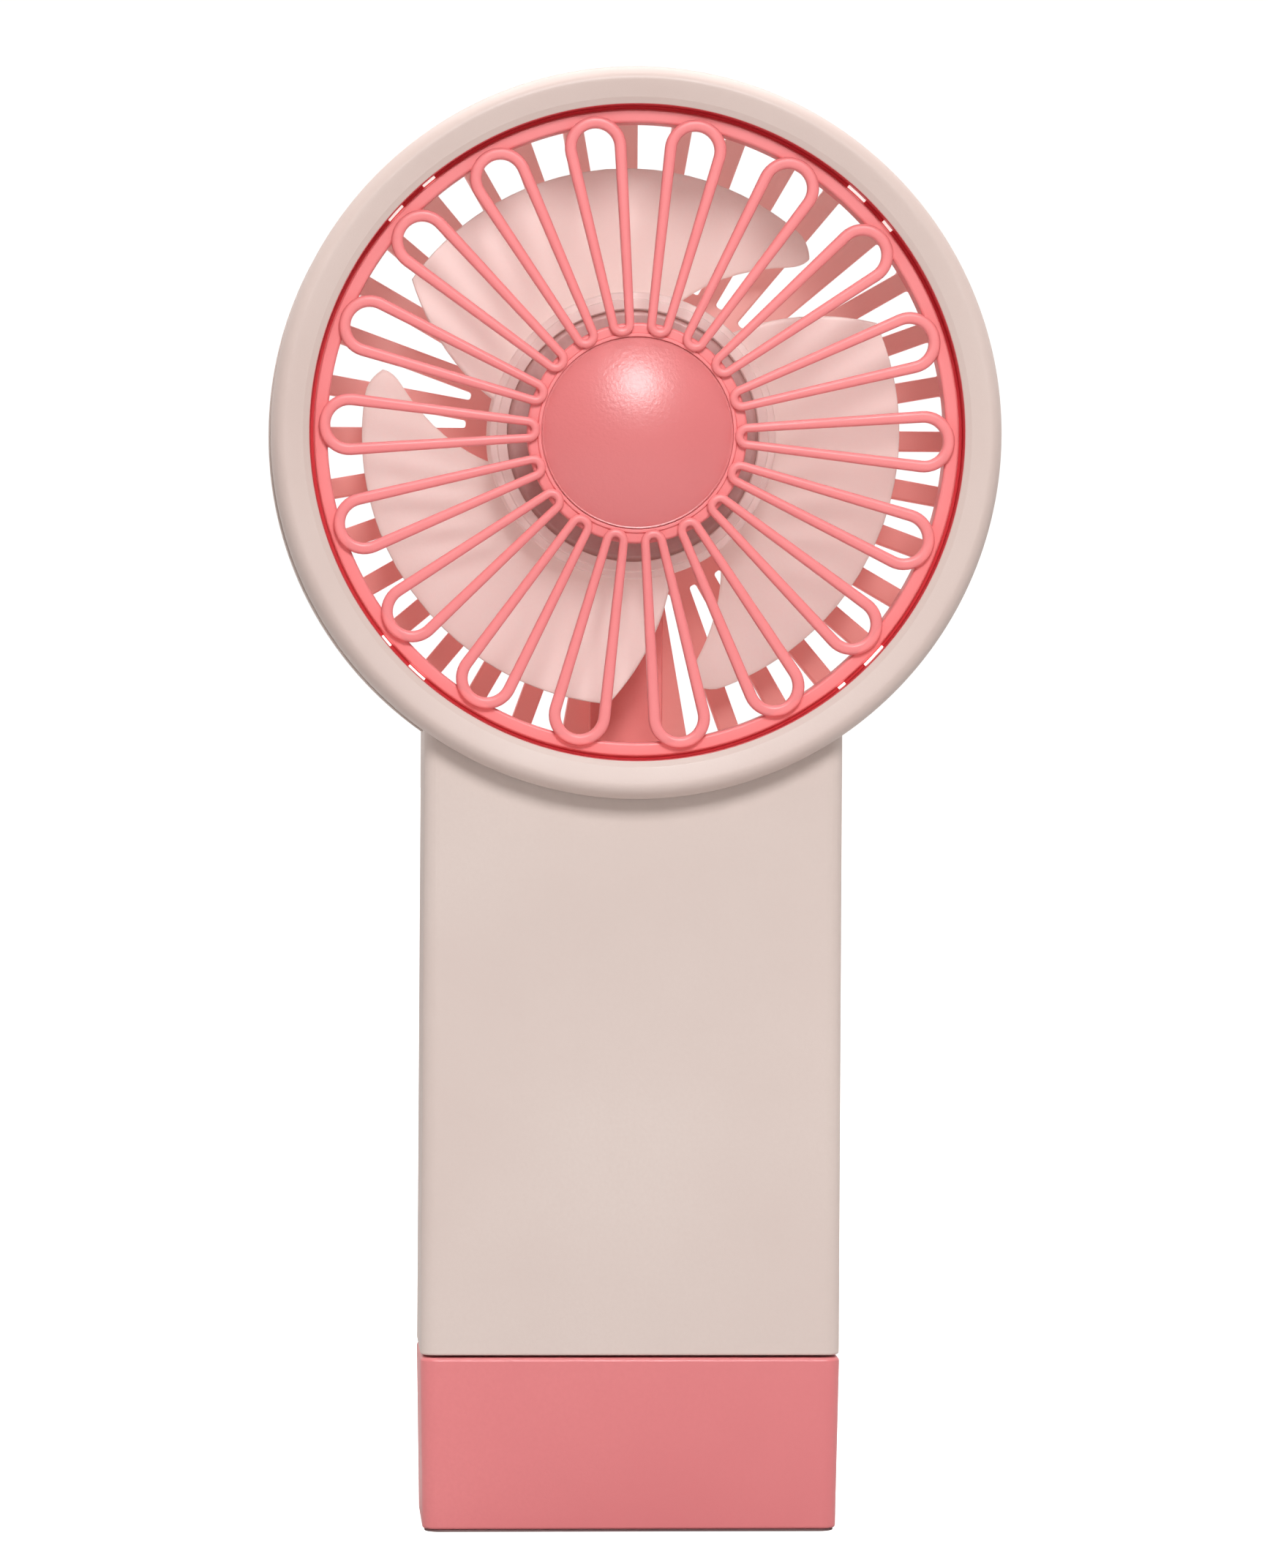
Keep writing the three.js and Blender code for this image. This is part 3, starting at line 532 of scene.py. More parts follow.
def grille_plastic():
    """The rear grille's coral. Its inner face is painted paler than the coral, and paler still towards the
    top, as painted light, with a painted glow all over; it is also a little translucent.
    """
    recipe = Recipe("Rear grille")
    depth = recipe.ranged(recipe.distance("Y"), 0, 1, 14.2 * MM, 15.8 * MM)
    drift = recipe.ranged(recipe.noise(28, 2), 0, 1)
    height = recipe.ranged(recipe.distance("Z"), 0, 1, 140 * MM, 176 * MM)
    # painted light: the inner face is painted paler than the coral, and paler still towards the top
    painted_lit_inner = recipe.mixed(drift, colour(241, 172, 166), colour(237, 163, 158))
    inner = recipe.mixed(height, painted_lit_inner, colour(248, 214, 208))
    outer = recipe.mixed(drift, *CORAL)
    recipe.paint(recipe.mixed(depth, inner, outer))
    recipe.rough(recipe.ranged(recipe.noise(160, 4), 0.36, 0.45))
    recipe.normal(recipe.bump(recipe.noise(2600, 3, 0.6), 1.2e-5))
    # painted glow over the whole grille, paler towards the top
    recipe.glow(recipe.mixed(height, (0.9, 0.42, 0.39, 1), (0.95, 0.7, 0.66, 1)), 0.16)
    recipe.let_light_through(colour(244, 170, 165), 0.3)
    return recipe.material


def build_materials():
    return {
        "pale_shell": moulded("Pale shell", *PALE, 0.42),
        "coral_shell": moulded("Coral shell", *CORAL, 0.36),
        "bezel": bezel_plastic(),
        "petals": petal_plastic(),
        "dome": moulded("Dome coral", colour(216, 118, 119), colour(213, 115, 116), 0.31, 2000, 4e-5,
                        spread=0.01, Specular_IOR_Level=0.6),
        # painted light: a lighter copy of the coral for the duct cover, which sits in shade inside the head
        "cover": moulded("Lightened inner coral", colour(252, 150, 147), colour(248, 142, 140), 0.45),
        "frosted_blades": frosted_plastic(),
        "foot_rubber": moulded("Foot rubber", colour(132, 104, 104), colour(112, 88, 88), 0.85, 1400, 4e-5),
        "steel": metal("Steel", colour(196, 194, 193), colour(168, 166, 166), 0.34),
        "brass": metal("Brass", colour(206, 180, 120), colour(186, 158, 98), 0.32, (1, 30, 1)),
        "copper_winding": metal("Copper winding", colour(200, 124, 78), colour(150, 84, 48), 0.35, (1, 1, 18)),
        "magnet": moulded("Magnet", colour(64, 60, 60), colour(46, 43, 43), 0.7),
        "circuit_laminate": moulded("Circuit laminate", colour(58, 118, 80), colour(40, 92, 60), 0.45),
        "cell_foil": metal("Cell foil", colour(206, 208, 212), colour(182, 184, 190), 0.38, (6, 6, 1)),
        "black_plastic": moulded("Black plastic", colour(46, 46, 48), colour(34, 34, 36), 0.5),
        "clear_lens": moulded("Clear lens", colour(246, 243, 238), colour(236, 232, 226), 0.2),
        "white_plastic": moulded("White plastic", colour(236, 234, 230), colour(226, 223, 218), 0.45),
        "wire_red": moulded("Wire red", colour(190, 60, 52), colour(168, 48, 42), 0.45),
        "wire_black": moulded("Wire black", colour(44, 44, 46), colour(32, 32, 34), 0.45),
    }


MATERIALS = build_materials()


# ---------------------------------------------------------------- fan head

def bezel_ring():
    """The pale front ring, of soft D section, with a flange behind the grille's rim."""
    crest = FRONT_R - 1.8
    outer = arc(crest, -13.2, FRONT_R - crest, -13.2 - HEAD_FRONT, 270)
    bevel, fold = (BEZEL_IN, -15.6), (43.55, -16.1)
    slope = [(45.0, -16.38), (45.6, -16.47)]
    inner = fillet([(BEZEL_IN, -14, 0), (*bevel, 0.2), (*fold, 0.35), (*slope[0], 0)], 4)[1:-1] + slope
    back = -HANDLE_FACE - 0.3
    outline = [
        *inner, *outer, (FRONT_R, back), (45.2, back), (45.2, BEZEL_BACK),
        (RIM_IN + 0.9, BEZEL_BACK), (RIM_IN + 0.9, GRILLE_BACK + 0.2), (BEZEL_IN, GRILLE_BACK + 0.2),
    ]
    ring = turned_y("tool", outline, 240)
    return join(ring, *[clip_tab(*span) for span in CLIP_TABS])


def clip_tab(start, end):
    """A low pale tab of the ring that stands in the gap round the grille, beside a clip."""
    rings = []
    for k in range(5):
        turn = Matrix.Rotation(math.radians(start + (end - start) * k / 4), 3, "Y")
        section = [(TAB_IN, -13.7), (TAB_IN, -12.0), (TAB_OUT, -12.0), (TAB_OUT, -13.7)]
        rings.append([turn @ Vector((0, y, r)) + Vector((0, 0, HEAD_Z)) for r, y in section])
    return skin("tool", rings)


def petal_path(steps_out=22, steps_in=12, steps_side=4):
    """Points along a petal's centre line as (x, r, outward x, outward r, width)."""
    r_out, r_in = 3.25, 1.08
    at_out, at_in = 37.5, 14.35
    lean = math.asin((r_out - r_in) / (at_out - at_in))
    wide, narrow = 1.5, 1.12
    path = []
    for k in range(steps_out + 1):
        a = -lean + (math.pi + 2 * lean) * k / steps_out
        path.append((r_out * math.cos(a), at_out + r_out * math.sin(a), math.cos(a), math.sin(a), wide))
    left = [(r_out, at_out, wide), (r_in, at_in, narrow)]
    for (ra, ca, wa), (rb, cb, wb), a in ((left[0], left[1], math.pi + lean), (left[1], left[0], -lean)):
        if a < 0:
            for k in range(steps_in + 1):
                b = math.pi + lean + (math.pi - 2 * lean) * k / steps_in
                nx, nr = math.cos(b), math.sin(b)
                path.append((r_in * nx, at_in + r_in * nr, nx, nr, narrow))
        for k in range(1, steps_side + 1):
            t = k / (steps_side + 1)
            r, c, w = ra + (rb - ra) * t, ca + (cb - ca) * t, wa + (wb - wa) * t
            path.append((r * math.cos(a), c + r * math.sin(a), math.cos(a), math.sin(a), w))
    return path


def petal(index):
    """A tapered loop with softly rounded front edges."""
    turn = math.radians(PETAL_PHASE + 360 / PETALS * index)
    depth = PETAL_BACK - PETAL_FRONT
    rings = []
    for x, r, nx, nr, width in petal_path():
        w, h = width / 2, depth / 2
        section = fillet([(-w, -h, 0.5), (w, -h, 0.5), (w, h, 0.2), (-w, h, 0.2)], 4)
        ring = []
        for across, forward in section:
            px, pr = x + nx * across, r + nr * across
            ring.append((
                px * math.cos(turn) + pr * math.sin(turn),
                PETAL_FRONT + depth / 2 + forward,
                HEAD_Z - px * math.sin(turn) + pr * math.cos(turn),
            ))
        rings.append(ring)
    return skin("tool", rings, endless=True)


def front_grille():
    """Rim, hub disc with a raised bead, petal loops and snap hooks, in one moulding."""
    gap_out = BEZEL_IN - 0.04
    rim = turned_y("tool", fillet([
        (RIM_IN, RIM_FRONT, 0.4), (RIM_OUT, RIM_FRONT, 0.3), (RIM_OUT, GAP_FLOOR_FRONT, 0),
        (gap_out, GAP_FLOOR_FRONT, 0), (gap_out, GAP_FLOOR_BACK, 0), (RIM_OUT, GAP_FLOOR_BACK, 0),
        (RIM_OUT, GRILLE_BACK, 0.1), (RIM_IN, GRILLE_BACK, 0.1)], 4), 240)
    front, back, bead = HUB_DISC_FRONT, HUB_DISC_BACK, HUB_DISC_FRONT - 0.3
    disc = turned_y("tool", fillet([
        (2.3, front, 0.1), (12.5, front, 0), (12.58, bead, 0.05), (12.95, bead, 0.05), (13.1, front, 0),
        (14.4, front, 0.4), (14.4, back, 0.1), (2.3, back, 0.1)], 4), 144)
    clips = [clip(a) for a in CLIP_ANGLES]
    return join(rim, disc, *[petal(i) for i in range(PETALS)], *clips)


def clip(degrees):
    """The snap hook behind the rim, with a ramp."""
    section = [(42.0, -9.6), (42.0, -10.9), (42.9, -10.9), (43.4, -10.2), (43.4, -9.6)]
    turn = Matrix.Rotation(math.radians(degrees), 3, "Y")
    centre = Vector((0, 0, HEAD_Z))
    return skin("tool", [[turn @ Vector((x, y, r)) + centre for r, y in section] for x in (-1.8, 1.8)])


def grille_cap():
    edge = -13.95
    r, rise = 12.4, edge - CAP_FRONT
    sphere = (r * r + rise * rise) / (2 * rise)
    reach = math.asin(r / sphere)
    dome = []
    for k in range(29):
        a = reach * 0.985 * k / 28
        dome.append((sphere * math.sin(a), CAP_FRONT + sphere * (1 - math.cos(a))))
    skirt = [(r, edge - 0.12), (r, edge + 0.05), (2, edge + 0.05), (2, -11.7), (1.8, -11.6), (0, -11.6)]
    return turned_y("tool", [*dome, *skirt], 144)


# ---------------------------------------------------------------- impeller and rotor

def blade_point(along, out, index):
    """(x, y, z) on a blade's middle surface; along runs from the trailing edge to the leading edge."""
    tip = BLADE_R - 1.6 * (max(0, along - 0.955) / 0.045) ** 2
    r = BLADE_ROOT + out * (tip - BLADE_ROOT)
    trailing = -75.9 + 1.25 * (r - 19)
    leading = 18.6 + 1.9 * (r - BLADE_ROOT) - 3.1 * (max(0, r - 31) / 3) ** 2
    x, z = on_head(trailing + (leading - trailing) * along + 360 / BLADES * index, r)
    return Vector((x, BLADE_FRONT + BLADE_SWEEP * along, z))


def eased(count, edge):
    """Steps from 0 to 1 that crowd towards both ends."""
    waves = [math.cos(math.pi * k / count) for k in range(count + 1)]
    return [0.5 - 0.5 * math.copysign(abs(wave) ** edge, wave) for wave in waves]


def blade(index, columns=44, rows=22):
    """A thin helical sheet with rounded edges."""
    along_steps, out_steps = eased(columns, 0.8), eased(rows, 0.8)
    rim_steps = 0.55
    grid = [[blade_point(a, o, index) for o in out_steps] for a in along_steps]
    front, back = [], []
    for i, column in enumerate(grid):
        for j, p in enumerate(column):
            du = grid[min(i + 1, columns)][j] - grid[max(i - 1, 0)][j]
            dv = column[min(j + 1, rows)] - column[max(j - 1, 0)]
            normal = du.cross(dv).normalized()
            if normal.y > 0:
                normal = -normal
            inward = min((p - grid[0][j]).length, (grid[columns][j] - p).length, (column[rows] - p).length)
            t = min(1, inward / rim_steps)
            half = BLADE_T / 2 * (1 - 0.5 * out_steps[j]) * (0.3 + 0.7 * math.sqrt(t * (2 - t)))
            front.append(p + normal * half)
            back.append(p - normal * half)
    vertices = front + back
    size = rows + 1
    offset = len(front)
    faces = []
    for i in range(columns):
        for j in range(rows):
            a, b, c, d = i * size + j, i * size + j + 1, (i + 1) * size + j + 1, (i + 1) * size + j
            faces.append((a, b, c, d))
            faces.append((offset + d, offset + c, offset + b, offset + a))
    edge = [i * size for i in range(columns + 1)]
    edge += [columns * size + j for j in range(1, rows + 1)]
    edge += [i * size + rows for i in range(columns - 1, -1, -1)]
    edge += [j for j in range(rows - 1, 0, -1)]
    for k, a in enumerate(edge):
        b = edge[(k + 1) % len(edge)]
        faces.append((a, b, offset + b, offset + a))
    return piece_from("tool", vertices, faces)


def impeller():
    bore = ROTOR_R + 0.05
    hub = turned_y("tool", fillet([
        (bore, HUB_FRONT, 0.15), (17.9, HUB_FRONT, 0.15), (18.05, HUB_FRONT + 0.45, 0),
        (HUB_R, HUB_FRONT + 0.45, 0.3), (HUB_R, HUB_BACK, 0.3), (bore, HUB_BACK, 0.1)], 4), 180)
    made = join(hub, *[blade(i) for i in range(BLADES)])
    return cut(made, rod_y(bore, HUB_FRONT - 1, HUB_BACK + 1, steps=180))


def rotor_cup():
    bore, inside = 1.55, ROTOR_R - 0.7
    return turned_y("tool", fillet([
        (bore, ROTOR_FRONT, 0.1), (ROTOR_R, ROTOR_FRONT, 0.8), (ROTOR_R, ROTOR_BACK, 0.1),
        (inside, ROTOR_BACK, 0.1), (inside, ROTOR_FRONT + 0.8, 0.3), (3.4, ROTOR_FRONT + 0.8, 0.1),
        (3.4, -0.9, 0.1), (bore, -0.9, 0.1)], 5), 144)


# ---------------------------------------------------------------- rear grille

def slot_outline(degrees, grow):
    """The opening between two ribs with rounded corners, grown all round."""
    half_rib = 1.35 - grow
    inner, outer = SLOT_IN - grow, SLOT_OUT + grow
    half_pitch = math.pi / REAR_RIBS
    corners = []
    for r, side, radius in ((inner, -1, 0.42), (outer, -1, 0.6), (outer, 1, 0.6), (inner, 1, 0.42)):
        a = side * math.asin(math.sin(half_pitch) - half_rib / r)
        corners.append((r * math.sin(a), r * math.cos(a), radius + grow))
    turn = math.radians(degrees)
    return [
        (x * math.cos(turn) + r * math.sin(turn), HEAD_Z - x * math.sin(turn) + r * math.cos(turn))
        for x, r in fillet(corners, 4)
    ]


def through_y(outline, y0, y1, flare):
    """A tool for an opening with rounded mouths on both faces. outline(grow) gives its (x, z) points."""
    rings = [[(x, y0 - 0.5, z) for x, z in outline(flare)]]
    steps = rounding(flare, 4)
    rings += [[(x, y0 + back, z) for x, z in outline(inset)] for inset, back in reversed(steps)]
    rings += [[(x, y1 - back, z) for x, z in outline(inset)] for inset, back in steps]
    rings.append([(x, y1 + 0.5, z) for x, z in outline(flare)])
    return skin("tool", rings)


def rear_grille():
    """Round plate with radial ribs, a hub disc and the channel that carries the motor's leads."""
    plate = turned_y("tool", fillet([
        (4.3, PLATE_FRONT, 0.1), (PLATE_R, PLATE_FRONT, 0.2), (PLATE_R, PLATE_BACK, 0.4),
        (14, PLATE_BACK, 0.25), (14, 14.3, 0.1), (4.3, 14.3, 0.1)], 4), 240)
    pitch = 360 / REAR_RIBS
    slots = []
    for i in range(REAR_RIBS):
        degrees = pitch * (i + 0.5)
        if abs(degrees - 180) > pitch:
            slots.append(through_y(
                lambda grow, d=degrees: slot_outline(d, grow), PLATE_FRONT, PLATE_BACK, 0.35))
    plate = cut(plate, *slots)
    top = HEAD_Z - 20.2
    duct = block(-DUCT_HALF, DUCT_HALF, COVER_BACK + 0.2, PLATE_FRONT + 0.5, DUCT_FOOT, top, 0.4)
    channel = block(-DUCT_HALF + 1.2, DUCT_HALF - 1.2, COVER_BACK, PLATE_FRONT, DUCT_FOOT - 1, top + 2)
    leads = block(-3, 3, 10, 14, HEAD_Z - 22, HEAD_Z - 11.2)
    holes = [rod_y(1.2, 12, 17, *on_head(a, 7), steps=24) for a in MOTOR_SCREW_ANGLES]
    return cut(join(plate, cut(duct, channel)), leads, *holes)


def cable_cover():
    foot, top = low("cable_cover", "z"), high("cable_cover", "z")
    middle = (foot + top) / 2

    def outline(inset):
        flat = rounded_rect(2 * (DUCT_HALF - inset), top - foot - 2 * inset, 0.6)
        return [(x, middle + z) for x, z in flat]

    return plate_y(outline, low("cable_cover", "y"), COVER_BACK, 0.2)


def rear_hub_cap():
    """A shallow dish with a rounded shoulder over the motor screws."""
    seat = low("rear_hub_cap", "y")
    crown = [(r, HEAD_CAP_BACK - 0.5 * (r / 12.6) ** 2) for r in (0, 3, 6, 9, 11, 12.2)]
    shoulder = [(12.9, HEAD_CAP_BACK - 0.66), (13.4, HEAD_CAP_BACK - 0.95), (13.7, HEAD_CAP_BACK - 1.35)]
    return turned_y("tool", [*crown, *shoulder, (13.7, seat), (12.7, seat), (12.7, 15.5), (0, 15.5)], 144)


# ---------------------------------------------------------------- shells

def handle_width(z):
    return HANDLE_BOTTOM_W + (HANDLE_TOP_W - HANDLE_BOTTOM_W) * (z - HANDLE_Z0) / (HANDLE_TOP - HANDLE_Z0)


def half_section(width, face, parting, edge_r, lip_r, z):
    """One half of the handle's outline, open side towards the parting plane."""
    w = width / 2
    outline = fillet([(-w, parting, lip_r), (-w, face, edge_r), (w, face, edge_r), (w, parting, lip_r)], 6)
    return [(x, y, z) for x, y in outline]


def half_handle(side):
    """The solid half block of the handle, with a softened lower edge."""
    edge = 0.3
    rings = []
    for inset, rise in reversed(rounding(edge)):
        z = HANDLE_Z0 + rise
        width = handle_width(z) - 2 * inset
        face = side * (HANDLE_FACE - inset)
        rings.append(half_section(width, face, side * PARTING, EDGE_R - inset, 0.15, z))
    rings.append(half_section(HANDLE_TOP_W, side * HANDLE_FACE, side * PARTING, EDGE_R, 0.15, HANDLE_TOP))
    return skin("tool", rings)


def half_cavity(side):
    z0, z1 = HANDLE_Z0 + 2.5, 95.5
    face = side * (HANDLE_FACE - WALL)
    return skin("tool", [
        half_section(handle_width(z) - 2 * WALL, face, -side * 2, 1, 0.1, z) for z in (z0, z1)])


def floor_hole():
    """The hole for the pivot post under the handle."""
    return round_rod_z(POST_HOLE_R, HANDLE_Z0 - 1, HANDLE_Z0 + 3.5, steps=64)


def front_shell():
    ring = turned_y("tool", fillet([
        (DUCT_R - 2, -HANDLE_FACE, 0), (FRONT_R, -HANDLE_FACE, 0.2), (FRONT_R, -PARTING, 0.15),
        (LIP_R, -PARTING, 0), (LIP_R, -LIP_GAP, 0), (DUCT_R - 2, -LIP_GAP, 0)], 4), 240)
    body = join(ring, half_handle(-1))
    body = cut(body, rod_y(DUCT_R, -20, 1, steps=240), rod_y(45.5, -20, -8.2, steps=240), half_cavity(-1))
    bosses = [rod_y(3, -HANDLE_FACE + 1, -0.3, x, z) for x, z in SHELL_SCREWS]
    pilots = [rod_y(1.15, -7.5, 0, x, z, 24) for x, z in SHELL_SCREWS]
    return cut(join(body, *bosses), floor_hole(), *pilots)


def port_tool():
    """The charging port's opening through the right wall, with a rounded mouth."""
    wall = handle_width(PORT_Z) / 2
    flare = 0.45

    def ring(x, grow):
        outline = rounded_rect(3.8 + 2 * grow, 9.5 + 2 * grow, 1.85 + grow, 8)
        return [(x, PORT_Y + y, PORT_Z + z) for y, z in outline]

    rings = [ring(22, 0)]
    rings += [ring(wall - back, inset) for inset, back in rounding(flare)]
    rings.append(ring(wall + 1, flare))
    return skin("tool", rings)


def rear_shell():
    rim = arc(HEAD_R - 1.4, HEAD_BACK - 3.2, 1.4, 3.2, 0, 90)
    ring = turned_y("tool", [
        (DUCT_R, LIP_GAP), (LIP_R, LIP_GAP), (LIP_R, PARTING), (HEAD_R - 0.1, PARTING),
        (HEAD_R, PARTING + 0.1),
        *rim, (45.9, HEAD_BACK), (45.6, HEAD_BACK - 0.3), (45.6, 12.5), (DUCT_R, 12.5)], 240)
    handle = cut(half_handle(1), rod_y(DUCT_R + 1, -1, 20, steps=240))
    body = cut(join(handle, ring), half_cavity(1), floor_hole())
    posts = [rod_y(3.4, 0.3, HANDLE_FACE - 1, x, z) for x, z in SHELL_SCREWS]
    supports = [rod_y(2.4, 4.5, HANDLE_FACE - 1, x, z) for x, z in BOARD_SCREWS]
    body = join(body, *posts, *supports)
    tools = [rod_y(1.4, 0, 12, x, z, 24) for x, z in SHELL_SCREWS]
    tools += [flared_y(2.6, HANDLE_FACE, 6, 0.35, x, z) for x, z in SHELL_SCREWS]
    tools += [rod_y(1.1, 3.2, 8.5, x, z, 24) for x, z in BOARD_SCREWS]
    tools.append(flared_y(5.3, HANDLE_FACE, 3, 0.5, BUTTON_X, BUTTON_Z, 96))
    tools.append(flared_y(1.3, HANDLE_FACE, 3, 0.15, 0, LENS_Z, 48))
    tools.append(block(-3, 3, 7.4, 10.5, 94.5, 101))
    tools.append(port_tool())
    return cut(body, *tools)


def shell_screw(x, z):
    """A pan-head screw with a cross recess, sunk in its counterbore."""
    face = high("shell_screw_1", "y")
    head = [
        (0, face), (1.2, face), (1.8, face - 0.12), (2.15, face - 0.4), (2.3, face - 0.8), (2.3, face - 1.7)]
    shank = [(1, face - 1.7), (1, face - 11), (0.4, face - 11.7), (0, face - 11.7)]
    screw = turned_y("tool", head + shank, 48, x, z)
    slots = []
    for angle in (0, 90):
        turn = Matrix.Rotation(math.radians(angle), 3, "Y")
        centre = Vector((x, 0, z))
        section = [(-1.3, -0.28), (1.3, -0.28), (1.3, 0.28), (-1.3, 0.28)]
        rings = []
        for y, shrink in ((face - 0.9, 0.35), (face + 0.2, 1.0)):
            squash = 0.6 + 0.4 * shrink
            rings.append([turn @ Vector((a * shrink, y, b * squash)) + centre for a, b in section])
        slots.append(skin("tool", rings))
    return cut(screw, *slots)


def power_button():
    """A flanged button whose crown is slightly dished."""
    top = high("power_button", "y")
    dish = [(0, top - 0.28), (1.5, top - 0.25), (2.8, top - 0.14), (3.7, top - 0.03), (4.1, top)]
    crown = arc(5 - 0.6, top - 0.6, 0.6, 0.6, 90, -90, 6)
    under = [(5, 8.6), (6, 8.6), (6, 7.9), (1.6, 7.9), (1.6, 7.25), (0, 7.25)]
    return turned_y("tool", [*dish, *crown, *under], 96, BUTTON_X, BUTTON_Z)


def indicator_lens():
    face = high("indicator_lens", "y")
    return turned_y("tool", [
        (0, face), (0.6, face - 0.03), (0.9, face - 0.12), (1, face - 0.3), (1, 8.7), (2, 8.7), (2, 7.8),
        (1, 7.8), (1, 6), (0, 6)], 48, 0, LENS_Z)


def charging_port():
    """Drawn metal shell with a contact tongue."""
    def ring(x, w, h, r):
        return [(x, PORT_Y + y, PORT_Z + z) for y, z in rounded_rect(w, h, r, 8)]

    front, back = high("usb_c_socket", "x"), low("usb_c_socket", "x")
    shell = skin("tool", [
        ring(back, 3.2, 8.9, 1.55), ring(front - 0.1, 3.2, 8.9, 1.55), ring(front, 3.0, 8.7, 1.45)])
    hollow = skin("tool", [ring(back + 1.6, 2.6, 8.3, 1.25), ring(front + 1, 2.6, 8.3, 1.25)])
    tongue = skin("tool", [
        ring(back + 1.2, 0.7, 6.7, 0.1), ring(front - 1.3, 0.7, 6.7, 0.1), ring(front - 1.1, 0.4, 6.4, 0.1)])
    return join(cut(shell, hollow), tongue)


# ---------------------------------------------------------------- base

def base_ring(z, inset, corner):
    """A horizontal outline of the base, which widens slightly upwards."""
    t = (z - BASE_Z0) / (BASE_TOP - BASE_Z0)
    width = BASE_BOTTOM_W + (BASE_TOP_W - BASE_BOTTOM_W) * t - 2 * inset
    depth = BASE_TOP_D - 0.4 * (1 - t) - 2 * inset
    return [(x, y, z) for x, y in rounded_rect(width, depth, corner - inset, 8)]


def softened(z0, z1, edge0, edge1, corner):
    """Rings of the base between two heights, with rounded lower and upper edges."""
    rings = [base_ring(z0 + rise, inset, corner) for inset, rise in reversed(rounding(edge0))]
    return rings + [base_ring(z1 - drop, inset, corner) for inset, drop in rounding(edge1)]


def round_rod_z(r, z0, z1, x=0.0, y=0.0, steps=48):
    angles = [2 * math.pi * k / steps for k in range(steps)]
    ring = [(x + r * math.cos(a), y + r * math.sin(a)) for a in angles]
    return skin("tool", [[(px, py, z) for px, py in ring] for z in (z0, z1)])


def base_shell():
    body = skin("tool", softened(BASE_Z0, BASE_TOP, 0.35, 0.55, EDGE_R))
    w0, w1 = BASE_BOTTOM_W - 2 * WALL, BASE_TOP_W - 2 * WALL - 0.6
    d0, d1 = BASE_TOP_D - 0.4 - 2 * WALL, BASE_TOP_D - 2 * WALL
    hollow = skin("tool", [
        [(x, y, z) for x, y in rounded_rect(w, d, 1)] for w, d, z in ((w0, d0, 0), (w1, d1, BASE_TOP - 2.5))])
    body = cut(body, hollow)
    bosses = [round_rod_z(2.8, PLATE_TOP + 0.3, BASE_TOP - 1, x) for x in PLATE_SCREWS]
    body = join(body, *bosses, round_rod_z(1.9, 12, BASE_TOP - 1, DETENT_R))
    pilots = [round_rod_z(1.1, PLATE_TOP, 15, x, steps=24) for x in PLATE_SCREWS]
    return cut(
        body, *pilots,
        round_rod_z(POST_HOLE_R, BASE_TOP - 5, BASE_TOP + 1),
        round_rod_z(1.15, 13, BASE_TOP + 1, DETENT_R))


def slab(node, radius, edge, top=None):
    """A flat plate over a CAD node's box, up to top if given, with rounded corners and edges."""
    w, d = 2 * high(node, "x"), 2 * high(node, "y")
    z0, z1 = low(node, "z"), top or high(node, "z")
    rings = []
    for z, inset in ((z0, edge), (z0 + edge * 0.3, edge * 0.3), (z0 + edge, 0),
                     (z1 - edge, 0), (z1 - edge * 0.3, edge * 0.3), (z1, edge)):
        rings.append([(x, y, z) for x, y in rounded_rect(w - 2 * inset, d - 2 * inset, radius - inset)])
    return skin("tool", rings)


def base_plate():
    plate = slab("base_plate", 1, 0.15)
    holes = [round_rod_z(1.3, 0, PLATE_TOP + 1, x, steps=24) for x in PLATE_SCREWS]
    seats = [round_rod_z(2.4, 0, 2.5, x) for x in PLATE_SCREWS]
    return cut(plate, *holes, *seats)


def foot_pad():
    """The rubber sole, with shallow grooves across its underside."""
    pad = slab("foot_pad", EDGE_R, 0.08, top=SOLE_TOP)
    grooves = []
    for k in range(-5, 6):
        x = k * 4.4
        grooves.append(block(x - 0.45, x + 0.45, -8, 8, -0.2, 0.14, 0.4))
    return cut(pad, *grooves)


# ---------------------------------------------------------------- assembly

def build_fan():
    place(bezel_ring(), "bezel", "pale_shell", "handle", "bezel_ring", material=MATERIALS["bezel"])
    place(front_grille(), "petal_grille", "coral_shell", "handle", "front_grille",
          material=MATERIALS["petals"])
    place(grille_cap(), "dome_cap", "coral_shell", "handle", "grille_cap", material=MATERIALS["dome"])
    place(rear_grille(), "back_grille", "coral_shell", "handle", "rear_grille", material=grille_plastic())
    place(cable_cover(), "duct_cover", "coral_shell", "handle", "cable_cover", material=MATERIALS["cover"])
    place(rear_hub_cap(), "back_cap", "coral_shell", "handle", "rear_hub_cap")
    place(front_shell(), "shell_front", "pale_shell", "handle", "front_shell")
    place(rear_shell(), "shell_rear", "pale_shell", "handle", "rear_shell")
    for i, (x, z) in enumerate(SHELL_SCREWS, 1):
        place(shell_screw(x, z), f"case_screw_{i}", "steel", "handle", f"shell_screw_{i}")
    place(indicator_lens(), "light_pipe", "clear_lens", "handle", "indicator_lens")
    place(charging_port(), "charge_port", "steel", "handle", "usb_c_socket")
    place(impeller(), "fan_wheel", "frosted_blades", "rotor", "impeller")
    place(rotor_cup(), "rotor_shell", "steel", "rotor", "rotor_cup", material=pink_tinted_rotor())
    place(power_button(), "button_crown", "coral_shell", "button", "power_button")
    place(base_shell(), "base_body", "coral_shell", "base", "base_shell")
    place(base_plate(), "base_cover", "steel", "base", "base_plate")
    place(foot_pad(), "rubber_sole", "foot_rubber", "base", "foot_pad")


